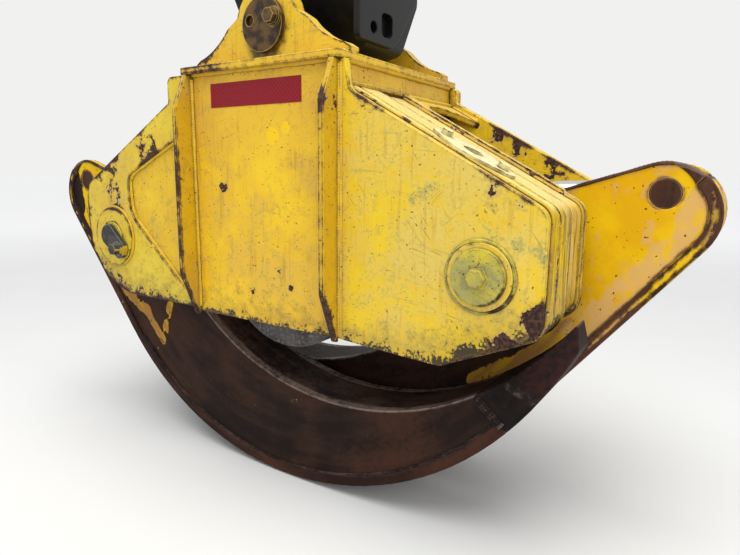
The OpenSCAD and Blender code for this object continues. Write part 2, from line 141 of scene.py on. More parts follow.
class Shader:
    """A material's node tree, with the sums that the finishes share."""

    def __init__(self, name: str) -> None:
        """Starts a material that holds only its output and its surface shader."""
        self.material = bpy.data.materials.new(name)
        self.material.use_nodes = True
        self.tree = self.material.node_tree
        self.tree.nodes.clear()
        self.surface = self.add("ShaderNodeBsdfPrincipled")
        self.add("ShaderNodeOutputMaterial", {"Surface": self.surface.outputs[0]})
        self.place = self.add("ShaderNodeTexCoord").outputs["Object"]

    def add(self, kind: str, inputs: Optional[dict] = None, **settings: object) -> bpy.types.Node:
        """Adds a node to this material, as add_node says."""
        return add_node(self.tree, kind, inputs, **settings)

    def maths(self, operation: str, *values: Value, clamp: bool = False) -> Socket:
        """Joins numbers or sockets with one Math operation and returns its result."""
        return self.add("ShaderNodeMath", dict(enumerate(values)), operation=operation, use_clamp=clamp).outputs[0]

    def times(self, first: Value, second: Value) -> Socket:
        """One value times another."""
        return self.maths("MULTIPLY", first, second)

    def most(self, first: Value, second: Value) -> Socket:
        """The larger of two values."""
        return self.maths("MAXIMUM", first, second)

    def rest(self, share: Value) -> Socket:
        """What a share leaves of 1."""
        return self.maths("SUBTRACT", 1.0, share)

    def total(self, *terms: tuple[Value, float]) -> Socket:
        """Adds up values, each times its weight."""
        result: Value = 0.0
        for value, weight in terms:
            result = self.maths("MULTIPLY_ADD", value, weight, result)
        return result

    def noise(self, grain: float, detail: float = 4, stretch: Sequence[float] = (1, 1, 1), rough: float = 0.55,
              offset: float = 0.0, turn: float = 0.0, place: Optional[Socket] = None) -> Socket:
        """Fractal noise over Object coordinates or another place.

        Args:
            grain: Size of the largest blotch in millimetres.
            detail: Number of finer octaves.
            stretch: How many times longer the blotches are along x, y and z.
            rough: Strength of each finer octave.
            offset: Shift in metres that gives another patch of the same noise.
            turn: Turn of the pattern about y in degrees.
            place: Coordinates in metres, Object coordinates if left out.

        Returns:
            The noise value from 0 to 1.
        """
        mapping = self.add("ShaderNodeMapping", {
            "Vector": place or self.place, "Scale": [grain * factor * MM for factor in stretch],
            "Location": (offset, offset * 0.7, offset * 1.3), "Rotation": (0, math.radians(turn), 0)},
            vector_type="TEXTURE")
        return self.add("ShaderNodeTexNoise", {
            "Vector": mapping.outputs[0], "Scale": 1.0, "Detail": detail, "Roughness": rough}).outputs[0]

    def step(self, value: Value, low: float, high: float) -> Socket:
        """Smooth step that is 0 at low and 1 at high, also where low is above high."""
        rising = low <= high
        ends = {"From Min": min(low, high), "From Max": max(low, high),
                "To Min": 0.0 if rising else 1.0, "To Max": 1.0 if rising else 0.0}
        return self.add("ShaderNodeMapRange", {"Value": value, **ends}, interpolation_type="SMOOTHSTEP").outputs[0]

    def blend(self, share: Value, first: object, second: object) -> Socket:
        """Mixes two colours by a share from 0 to 1."""
        return self.add("ShaderNodeMix", {0: share, 6: first, 7: second}, data_type="RGBA").outputs[2]

    def between(self, share: Value, first: str, second: str) -> Socket:
        """Mixes two hex colours by a share from 0 to 1."""
        return self.blend(share, linear(first), linear(second))

    def tint(self, colour: object, share: Value, code: str, strength: Value = 1.0) -> Socket:
        """Lays a hex colour over another colour by a share times a strength."""
        return self.blend(share if strength == 1.0 else self.times(share, strength), colour, linear(code))

    def edge(self, reach: float) -> Socket:
        """Nearness of a sharp edge, from 0 on a flat to 1 right at a square edge, over a reach in mm.

        Two measures are taken and the larger one counts. The first is the turn from the true normal to one that is
        rounded over the reach, as the square root of one less its cosine. The second looks into the metal: beside an
        edge, half of the short rays soon come out again.
        """
        soft = self.add("ShaderNodeBevel", {"Radius": reach * MM}, samples=RAYS).outputs[0]
        true = self.add("ShaderNodeNewGeometry").outputs["Normal"]
        dot = self.add("ShaderNodeVectorMath", {0: soft, 1: true}, operation="DOT_PRODUCT").outputs["Value"]
        turn = self.maths("SQRT", self.most(self.rest(dot), 0.0))
        depth = self.add("ShaderNodeAmbientOcclusion", {"Distance": reach * 0.42 * MM}, samples=RAYS,
                         inside=True, only_local=True).outputs["AO"]
        thin = self.times(self.rest(depth), 2.1)
        return self.maths("MAXIMUM", self.times(turn, 1.8), thin, clamp=True)

    def corner(self, reach: float) -> Socket:
        """How shut in a point is, from 0 in the open to 1 in a deep corner, over a reach in mm."""
        open_share = self.add("ShaderNodeAmbientOcclusion", {"Distance": reach * MM}, samples=RAYS).outputs["AO"]
        return self.rest(open_share)

    def facing(self, letter: str) -> Socket:
        """The surface normal's part along x, y or z, from -1 to 1."""
        normal = self.add("ShaderNodeNewGeometry").outputs["Normal"]
        return self.add("ShaderNodeSeparateXYZ", {0: normal}).outputs["XYZ".index(letter)]

    def axis(self, letter: str) -> Socket:
        """The place along x, y or z in metres."""
        return self.add("ShaderNodeSeparateXYZ", {0: self.place}).outputs["XYZ".index(letter)]

    def squared(self, dx: Socket, dz: Socket) -> Socket:
        """Length squared of a way along x and z."""
        return self.total((self.times(dx, dx), 1.0), (self.times(dz, dz), 1.0))

    def within(self, square: Socket, reach: float) -> Socket:
        """Nearness from a length squared: 0 beyond the reach, 1 from a little over a quarter of it inwards."""
        return self.step(square, reach ** 2, reach ** 2 * 0.08)

    def away(self, x: float, z: float, both_sides: bool = False) -> tuple[Socket, Socket, Socket]:
        """The way from a point in the xz plane: along x, along z, and its length squared, with x or its size."""
        dx = self.maths("SUBTRACT", self.maths("ABSOLUTE", self.axis("X")) if both_sides else self.axis("X"), x)
        dz = self.maths("SUBTRACT", self.axis("Z"), z)
        return dx, dz, self.squared(dx, dz)

    def round_about(self, x: float, z: float) -> Socket:
        """Coordinates in metres that run along circles in the xz plane: length of arc, depth y, radius."""
        dx, dz, square = self.away(x, z)
        arc = self.times(self.maths("ARCTAN2", dz, dx), 0.8)
        return self.add("ShaderNodeCombineXYZ", {0: arc, 1: self.axis("Y"), 2: self.maths("SQRT", square)}).outputs[0]

    def towards(self, x: float, z: float) -> Socket:
        """Cosine of the direction from a point in the xz plane: 1 straight along x, -1 straight against it."""
        dx, _, square = self.away(x, z)
        return self.maths("DIVIDE", dx, self.maths("SQRT", square))

    def near(self, x: float, z: float, reach: float, both_sides: bool) -> Socket:
        """Nearness to a point in the xz plane: 1 at the point, 0 beyond a reach in metres, if wanted on both sides."""
        return self.within(self.away(x, z, both_sides)[2], reach)

    def near_line(self, start: Place, end: Place, reach: float) -> Socket:
        """Nearness to a line in the xz plane: 1 on it, 0 beyond a reach in metres.

        The place is first set square on the line: its share of the way from the start, kept between 0 and 1, gives the
        foot, and the distance to the foot is what counts.
        """
        dx, dz = end[0] - start[0], end[1] - start[1]
        px, pz = (self.maths("SUBTRACT", self.axis(letter), value) for letter, value in zip("XZ", start))
        share = self.maths("DIVIDE", self.total((px, dx), (pz, dz)), dx * dx + dz * dz, clamp=True)
        px, pz = self.total((px, 1.0), (share, -dx)), self.total((pz, 1.0), (share, -dz))
        return self.within(self.squared(px, pz), reach)

    def scratches(self, width: float, turn: float, offset: float, share: float,
                  place: Optional[Socket] = None) -> Socket:
        """Fine scratches: the peaks of a noise that is drawn out fifty times along one slant.

        Args:
            width: Width of a scratch in millimetres.
            turn: Slant of the scratches in degrees.
            offset: Patch of the noise.
            share: How much of the surface they cover, from 0 to 1.
            place: Coordinates that the scratches follow, Object coordinates if left out.

        Returns:
            1 on a scratch, 0 beside it.
        """
        peaks = self.noise(width * 2.2, 2, stretch=(50, 1, 1), turn=turn, offset=offset, place=place)
        peaks = self.step(peaks, 0.64, 0.7)
        shown = self.step(self.noise(90, 3, offset=offset + 5.5), 0.66 - 0.2 * share, 0.74 - 0.2 * share)
        return self.times(peaks, shown)

    def relief(self, height: Value, depth: float, before: Optional[Socket] = None) -> Socket:
        """A bump of a depth in mm, laid over an earlier bump."""
        inputs: dict = {"Height": height, "Strength": 1.0, "Distance": depth * MM}
        if before is not None:
            inputs["Normal"] = before
        return self.add("ShaderNodeBump", inputs).outputs[0]

    def finish(self, **sockets: object) -> bpy.types.Material:
        """Sets or links the surface shader's sockets, named with underscores for spaces."""
        for key, value in sockets.items():
            socket = self.surface.inputs[key.replace("_", " ").title().replace("Ior", "IOR")]
            if isinstance(value, Socket):
                self.tree.links.new(value, socket)
            else:
                socket.default_value = value
        return self.material


@dataclass(frozen=True)
class MachineEnamel:
    """Old machine enamel on steel plate.

    The yellow is lemon where it is sound and golden where it is thin, cloudy at every size. Over it lie a dull film
    of dust, runs of dirt, grey-green scuffs, fine slanting scratches and many dark specks. At the edges it has come
    off in ragged chips down to dark rust, with a pale rim of primer and a rusty stain round them. Black grime and
    painted shade fill the corners, and grime creeps up from the lower edge.

    Attributes:
        name: The material's name.
        clean, thin, dusty, stain, primer, rust, rust_light: Colours.
        dust, chips, scuffs, runs: How much there is of each, from 0 to 1 or a little more.
        reach: Width of the worn strip along sharp edges in mm, or 0 for none.
        nose: Extra wear on faces that look to the front or the back.
        rolled: Strength of the dirt that is drawn along a bend.
        foot: The lower edge, from which grime creeps up.
        ochre_top: Two heights between which a darker ochre sets in towards the top, and its strength.
        worn_spots, oil_spots: Places with much wear or oil.
        fresh_spots: Places with a patch of fresh paint: x, z and reach.
        smears: Lines with grey-green smears.
        both_sides: Whether the places hold on the left and on the right.
        seed: Patch of the noises.
    """

    name: str
    chips: float
    clean: str = "#E6C41E"
    thin: str = "#DCAC12"
    dusty: str = "#CFB95F"
    stain: str = "#A97E14"
    primer: str = "#E6CF96"
    rust: str = "#2C1B17"
    rust_light: str = "#553629"
    dust: float = 0.45
    reach: float = 22.0
    nose: float = 0.0
    scuffs: float = 0.5
    runs: float = 0.35
    rolled: float = 0.0
    foot: Optional[Foot] = None
    ochre_top: Optional[tuple[float, float, float]] = None
    worn_spots: tuple[Spot, ...] = ()
    oil_spots: tuple[Spot, ...] = ()
    fresh_spots: tuple[tuple[float, float, float], ...] = ()
    smears: tuple[Line, ...] = ()
    both_sides: bool = True
    seed: float = 0.0

    def film(self, s: Shader, broad: Socket, cloud: Socket, patch: Socket) -> Socket:
        """Share of dust: clouds of it everywhere and an even film on what faces up."""
        clouds = s.total((broad, 0.5), (cloud, 0.4), (patch, 0.35))
        clouds = s.step(clouds, 0.72 - 0.24 * self.dust, 0.9 - 0.24 * self.dust)
        return s.most(clouds, s.times(s.step(s.facing("Z"), 0.3, 0.9), 0.7))

    def grimed_foot(self, s: Shader, colour: Socket, patch: Socket, fine: Socket) -> Socket:
        """Olive haze and black grime above the lower edge, whose height is a level that rises beyond a place in x."""
        level, start, rise = self.foot
        over = s.most(s.total((s.maths("ABSOLUTE", s.axis("X")), 1.0), (-start, 1.0)), 0.0)
        height = s.total((s.axis("Z"), 1.0), (over, -rise), (-level, 1.0))
        haze = s.step(s.total((height, 11.0), (patch, -2.6), (fine, -0.6)), -0.55, -1.75)
        colour = s.tint(colour, haze, "#7A5F1E", 0.45)
        soot = s.step(s.total((height, 46.0), (patch, -5.0), (fine, -3.2)), -3.55, -3.95)
        return s.tint(colour, soot, "#1E140E", 0.95)

    def build(self) -> bpy.types.Material:
        """Returns the node material."""
        s = Shader(self.name)
        # Four sizes of cloud share all the sums below: 420, 120, 26 and 7 mm.
        broad = s.noise(420, 4, offset=self.seed)
        cloud = s.noise(120, 6, offset=self.seed + 3.1)
        patch = s.noise(26, 7, offset=self.seed + 4.4, rough=0.62)
        fine = s.noise(7, 4, offset=self.seed + 7.7)
        colour = s.between(s.step(s.total((broad, 0.6), (cloud, 0.5)), 0.45, 0.68), self.clean, self.thin)
        film = self.film(s, broad, cloud, patch)
        colour = s.tint(colour, film, self.dusty, 0.62)
        # Golden mottles between the clouds, and a darker ochre towards the top.
        mottle = s.step(s.total((patch, 0.6), (fine, 0.4)), 0.5, 0.64)
        colour = s.tint(colour, mottle, self.stain, 0.34)
        if self.ochre_top:
            low, high, share = self.ochre_top
            height = s.step(s.total((s.axis("Z"), 1.0), (cloud, 0.3), (-0.15, 1.0)), low, high)
            colour = s.tint(colour, height, "#CC9A35", share)
        # Runs of dirt, 9 mm wide and eighteen times as long.
        run = s.step(s.noise(9, 5, stretch=(1, 1, 18), offset=self.seed + 1.4), 0.53, 0.68)
        run = s.times(run, s.step(cloud, 0.42, 0.6))
        colour = s.tint(colour, run, self.stain, self.runs)
        # Logs swing past in wide arcs, and their scuffs and scratches follow them.
        arcs = s.round_about(0.3, -1.95)
        scuff = s.step(s.noise(16, 6, stretch=(9, 1, 1), offset=self.seed + 9, place=arcs), 0.58, 0.7)
        scuff = s.times(scuff, s.step(cloud, 0.44, 0.58))
        colour = s.tint(colour, scuff, "#9A9650", 0.8 * self.scuffs)
        for turn, width, dark, place in ((4, 1.5, "#6E6A3A", arcs), (-38, 1.0, "#7A6A2C", None),
                                         (52, 1.4, "#8E8240", None), (-9, 1.1, "#75703C", arcs)):
            scratch = s.scratches(width, turn, self.seed + turn * 0.11, self.scuffs, place)
            colour = s.tint(colour, scratch, dark, 0.7)
        for line in self.smears:
            smear = s.step(s.total((s.near_line(*line), 0.5), (patch, 1.2), (fine, 0.8)), 1.36, 1.72)
            colour = s.tint(colour, smear, "#808A5A", 0.55)
        for x, z, radius in self.fresh_spots:
            fresh = s.total((s.near(x, z, radius, self.both_sides), 1.0), (patch, 2.6), (-1.3, 1.0))
            colour = s.tint(colour, s.step(fresh, 0.5, 0.56), "#F0C402")
        if self.rolled:
            streak = s.step(s.noise(7, 6, stretch=(16, 1, 16), offset=self.seed + 2.7, rough=0.6), 0.46, 0.64)
            streak = s.times(streak, s.step(s.facing("Z"), 0.8, 0.3))
            colour = s.tint(colour, streak, "#7A5E1C", self.rolled)
        # Black grime and painted shade in the corners, from how shut in each point is, then oil, then the grime above
        # the lower edge.
        corner_grime_and_shade = s.step(s.total((s.corner(38), 1.0), (patch, 0.5)), 0.5, 0.92)
        colour = s.tint(colour, corner_grime_and_shade, "#54401C", 0.78)
        for x, z, radius, strength in self.oil_spots:
            oil = s.total((s.near(x, z, radius, self.both_sides), 1.0), (patch, 1.2), (-0.75, 1.0))
            colour = s.tint(colour, s.step(oil, 0.2, 0.9), "#2A1C10", strength)
        if self.foot:
            colour = self.grimed_foot(s, colour, patch, fine)
        # Where the paint has come off: near edges, on front edges and at the worn spots.
        worn = s.total((patch, 2.2), (fine, 0.5), (broad, 0.8), (-1.75, 1.0))
        if self.reach:
            worn = s.maths("ADD", worn, s.edge(self.reach))
        if self.nose:
            worn = s.total((worn, 1.0), (s.step(s.maths("ABSOLUTE", s.facing("Y")), 0.8, 0.95), self.nose))
        for x, z, radius, strength in self.worn_spots:
            worn = s.total((s.near(x, z, radius, self.both_sides), strength), (worn, 1.0))
        limit = 1.14 - 0.4 * self.chips
        chip = s.step(worn, limit, limit + 0.03)
        colour = s.tint(colour, s.step(worn, limit - 0.34, limit), self.stain, 0.4)
        rim = s.times(s.step(worn, limit - 0.07, limit - 0.02), s.step(cloud, 0.4, 0.55))
        colour = s.tint(colour, rim, self.primer, 0.6)
        # Small dark specks in groups, and single larger spots.
        specks = s.times(s.step(s.noise(7, 1, offset=self.seed + 2.3), 0.695, 0.72),
                         s.step(s.noise(70, 3, offset=self.seed + 9.1), 0.36, 0.54))
        spots = s.step(s.noise(30, 3, offset=self.seed + 6.2, rough=0.45), 0.76, 0.775)
        chip = s.most(chip, s.most(s.times(specks, 0.8), spots))
        colour = s.blend(chip, colour, s.between(s.step(fine, 0.4, 0.65), self.rust, self.rust_light))
        bump = s.relief(s.total((fine, 0.3), (cloud, 4.0)), 1.0)
        bump = s.relief(s.rest(chip), 0.9, bump)
        rough = s.total((film, 0.2), (chip, 0.42), (scuff, 0.12), (0.42, 1.0))
        return s.finish(base_color=colour, roughness=rough, normal=bump, specular_ior_level=0.4)


@dataclass(frozen=True)
class RubbedRust:
    """Thick mild steel that logs have rubbed bare and the weather has browned.

    It is a dark chocolate brown with a dull shine, streaked along the curve of the tong. Sharp edges are polished to
    grey-brown steel, and their lighter colour also paints a highlight on them. Thin painted highlights run along the
    inner edge's circle and along given marks. Towards the ear some yellow paint is left, eaten away from the edges in
    streaks, with a pinkish border of primer.

    Attributes:
        name: The material's name.
        dark, mid, red: Colours, and redness is the share of the last.
        centre: Middle of the tong's curve, which the streaks follow.
        ear_side: -1 or 1 for the side in x on which the ear lies, or 0 where there is no paint.
        paint_from: Cosine of the angle round the centre at which the paint begins.
        paint_loss: How much of it is gone, from 0 to 2.
        strokes, primed, bared, rubbed: Lines with a rest of paint, with primer, without paint, and rubbed bright with a
            painted highlight.
        rim: The inner edge's circle, along which a thin painted highlight line runs.
        polish: Strength of every painted highlight on polished steel, of the grey dust and of the bare steel's metal.
        seed: Patch of the noises.
    """

    name: str
    dark: str = "#1A100C"
    mid: str = "#37231A"
    red: str = "#4C2A1B"
    redness: float = 0.4
    centre: tuple[float, float] = (0.0, -0.766)
    ear_side: float = 0.0
    paint_from: float = 0.9
    paint_loss: float = 0.5
    strokes: tuple[Line, ...] = ()
    primed: tuple[Line, ...] = ()
    bared: tuple[Line, ...] = ()
    rim: Optional[tuple[float, float, float]] = None
    polish: float = 0.75
    rubbed: tuple[Line, ...] = ()
    seed: float = 0.0

    def paint(self, s: Shader, colour: Socket, streak: Socket, cloud: Socket) -> tuple[Socket, Socket]:
        """Lays the rest of the paint over a colour and returns both the colour and the painted share."""
        # The paint begins at an angle round the tong's centre, along a torn line, and in some strokes beyond it.
        facing = s.times(s.towards(*self.centre), self.ear_side)
        ragged = s.total((facing, 1.0), (streak, 0.26), (cloud, 0.22), (-0.24, 1.0))
        body = s.step(ragged, self.paint_from - 0.006, self.paint_from + 0.006)
        tear = s.noise(40, 7, offset=self.seed + 6.1, rough=0.62)
        dull: Value = 0.0
        for line in self.strokes:
            rest = s.step(s.total((s.near_line(*line), 0.5), (tear, 1.3), (streak, 1.0)), 1.48, 1.53)
            dull = s.most(dull, rest)
        body = s.most(body, dull)
        # It is worn off at edges and along the bared lines, with primer showing beside the bare plate.
        worn = s.total((s.edge(26), 1.0), (tear, 1.3), (streak, 1.1), (-1.2, 1.0))
        for line in self.bared:
            worn = s.total((worn, 1.0), (s.near_line(*line), 0.9))
        limit = 0.98 - 0.55 * self.paint_loss
        painted = s.times(body, s.step(worn, limit, limit - 0.025))
        pink = s.times(s.step(worn, limit - 0.3, limit - 0.04), s.step(cloud, 0.4, 0.52))
        shade = s.between(s.step(cloud, 0.4, 0.6), "#E7BB06", "#DAA508")
        shade = s.tint(shade, s.step(tear, 0.5, 0.66), "#B98410", 0.25)
        for line in self.primed:
            bare = s.step(s.total((s.near_line(*line), 0.45), (tear, 1.9), (streak, 0.9)), 1.5, 1.8)
            pink = s.most(pink, bare)
        shade = s.tint(shade, pink, "#D3A76C", 0.75)
        shade = s.tint(shade, dull, "#A9793A", s.step(streak, 0.34, 0.6))
        specks = s.step(s.noise(9, 2, offset=self.seed + 2.3), 0.7, 0.73)
        painted = s.times(painted, s.rest(specks))
        return s.blend(painted, colour, shade), painted

    def build(self) -> bpy.types.Material:
        """Returns the node material."""
        s = Shader(self.name)
        along = s.round_about(*self.centre)
        streak = s.noise(30, 6, stretch=(7, 1.5, 1), place=along, offset=self.seed)
        cloud = s.noise(230, 5, offset=self.seed + 2.2)
        fine = s.noise(14, 6, offset=self.seed + 3.3, rough=0.62)
        colour = s.between(s.step(s.total((streak, 0.5), (cloud, 0.6)), 0.42, 0.68), self.dark, self.mid)
        colour = s.tint(colour, s.step(s.total((cloud, 0.5), (fine, 0.5)), 0.46, 0.62), self.red, self.redness)
        colour = s.tint(colour, s.step(fine, 0.42, 0.28), "#0F0A09", 0.5)
        # Grey dust lies on what faces up. Edges are polished steel with a painted highlight, and the rubbed marks and
        # the inner edge's circle carry thin painted highlights.
        dust = s.times(s.step(s.facing("Z"), 0.35, 0.95), s.step(s.total((streak, 0.6), (fine, 0.4)), 0.4, 0.62))
        colour = s.tint(colour, dust, "#6E5C4E", 0.5 * self.polish)
        shine = s.step(s.total((s.edge(9), 1.0), (fine, 0.5), (streak, 0.5)), 0.95, 1.35)
        for mark in self.rubbed:
            shine = s.most(shine, s.times(s.near_line(*mark), s.step(fine, 0.4, 0.9)))
        # A thin painted highlight line along the inner edge's circle.
        if self.rim:
            x, z, radius = self.rim
            ring = s.add("ShaderNodeSeparateXYZ", {0: s.round_about(x, z)}).outputs[2]
            line = s.step(s.maths("ABSOLUTE", s.maths("SUBTRACT", ring, radius)), 0.007, 0.001)
            line = s.times(line, s.step(s.total((fine, 0.5), (streak, 0.5)), 0.36, 0.6))
            shine = s.most(shine, line)
        # Every shine lightens the colour: polished steel with a painted highlight on it.
        colour = s.tint(colour, shine, "#9A8478", self.polish)
        bump = s.relief(s.total((fine, 0.7), (streak, 0.5)), 0.9)
        painted: Value = 0.0
        if self.ear_side:
            colour, painted = self.paint(s, colour, streak, cloud)
            bump = s.relief(painted, 0.6, bump)
        rough = s.total((0.5, 1.0), (fine, 0.3), (shine, -0.2), (painted, -0.05))
        bare = s.times(shine, s.rest(painted))
        return s.finish(base_color=colour, roughness=rough, normal=bump, specular_ior_level=0.12,
                        metallic=s.times(bare, 0.3 * self.polish))


@dataclass(frozen=True)
class ChassisBlack:
    """Black chassis paint gone dull, with grey dust on what faces up, oily runs and brown wear at the edges."""

    name: str = "chassis_black"
    base: str = "#0B0B0C"
    dust: str = "#3A3732"
    seed: float = 0.0

    def build(self) -> bpy.types.Material:
        """Returns the node material."""
        s = Shader(self.name)
        film = s.noise(80, 6, offset=self.seed)
        runs = s.noise(14, 4, stretch=(1, 1, 9), offset=self.seed + 4)
        top = s.step(s.facing("Z"), 0.1, 0.9)
        dust = s.total((s.step(film, 0.46, 0.74), 0.12), (top, 0.4), (s.step(runs, 0.5, 0.7), 0.1))
        colour = s.between(dust, self.base, self.dust)
        worn = s.total((s.edge(7), 1.0), (s.noise(24, 6, offset=self.seed + 2), 1.4))
        chip = s.step(worn, 1.42, 1.47)
        colour = s.tint(colour, chip, "#4A382E", 0.85)
        bump = s.relief(s.noise(6, 4, offset=self.seed), 0.35)
        return s.finish(base_color=colour, roughness=s.total((0.4, 1.0), (dust, 0.45)), normal=bump,
                        specular_ior_level=0.3)


@dataclass(frozen=True)
class GreasedPin:
    """Hardened pin steel under old grease: nearly black in the hollows, with tan rubbed faces and edges.

    Yellow paint is left within a reach of a place, given as painted: x, z and reach in metres.
    """

    name: str = "greased_pin"
    dark: str = "#241710"
    mid: str = "#5C431F"
    light: str = "#A98B4A"
    painted: Optional[tuple[float, float, float]] = None

    def build(self) -> bpy.types.Material:
        """Returns the node material."""
        s = Shader(self.name)
        patch = s.noise(26, 6)
        colour = s.between(s.step(patch, 0.38, 0.62), self.dark, self.mid)
        shine = s.step(s.total((s.edge(5), 0.8), (patch, 0.9)), 0.6, 1.0)
        colour = s.tint(colour, shine, self.light, 0.8)
        if self.painted:
            rest = s.total((s.near(*self.painted, both_sides=True), 1.0), (patch, 0.8))
            colour = s.tint(colour, s.step(rest, 0.92, 1.0), "#B79A2E")
        wet = s.step(s.noise(60, 3, offset=2.0), 0.45, 0.6)
        return s.finish(base_color=colour, metallic=s.times(shine, 0.25), coat_weight=0.1,
                        specular_ior_level=0.3, normal=s.relief(patch, 0.8),
                        roughness=s.total((0.62, 1.0), (shine, -0.2), (wet, -0.2)))


@dataclass(frozen=True)
class ChromedBar:
    """Hard chrome on a ground bar: a bright mirror with very fine rings of polish and a film of oil.

    The eye at its end, within a reach of the ear pin in x and z, is dark greasy steel with brown patches.
    """

    name: str = "chromed_bar"
    eye: tuple[float, float, float] = (0.891, -0.813, 0.085)

    def build(self) -> bpy.types.Material:
        """Returns the node material."""
        s = Shader(self.name)
        hair = s.noise(3, 3, stretch=(1, 20, 20))
        bar = s.rest(s.step(s.near(*self.eye, both_sides=True), 0.3, 0.34))
        colour = s.between(s.noise(60, 4), "#D9DBDD", "#B9B6B0")
        eye = s.between(s.step(s.noise(24, 6), 0.42, 0.6), "#1F1714", "#4A3327")
        return s.finish(base_color=s.blend(bar, eye, colour), metallic=bar,
                        roughness=s.total((0.6, 1.0), (bar, -0.48), (hair, 0.14)), normal=s.relief(hair, 0.02))


@dataclass(frozen=True)
class DustedPlate:
    """Bare plate under grey road dust and dried mud: matt, grainy, darker where a log has wiped it."""

    name: str = "dusted_plate"

    def build(self) -> bpy.types.Material:
        """Returns the node material."""
        s = Shader(self.name)
        film = s.noise(70, 6)
        colour = s.between(s.step(film, 0.35, 0.65), "#5E5A59", "#3B3837")
        clods = s.step(s.noise(8, 5, offset=1.1), 0.52, 0.66)
        colour = s.tint(colour, clods, "#7C7672", 0.8)
        return s.finish(base_color=colour, roughness=0.85, normal=s.relief(s.noise(6, 5), 1.2))


@dataclass(frozen=True)
class ReflectiveTape:
    """Retroreflective tape: a dark red film over fine moulded cells in crossed diagonal rows, slightly glossy."""

    name: str = "reflective_tape"

    def build(self) -> bpy.types.Material:
        """Returns the node material."""
        s = Shader(self.name)
        turned = s.add("ShaderNodeMapping", {"Vector": s.place, "Rotation": (0, math.radians(45), 0)}).outputs[0]
        rows = [s.add("ShaderNodeTexWave", {"Vector": turned, "Scale": 38.0, "Distortion": 0.2},
                      bands_direction=letter).outputs["Fac"] for letter in "XZ"]
        cells = s.times(*rows)
        colour = s.between(cells, "#8C0A1C", "#5C0512")
        dirt = s.step(s.noise(50, 6), 0.52, 0.75)
        colour = s.tint(colour, dirt, "#6E3A30", 0.4)
        return s.finish(base_color=colour, roughness=0.5, normal=s.relief(cells, 0.08), specular_ior_level=0.3)


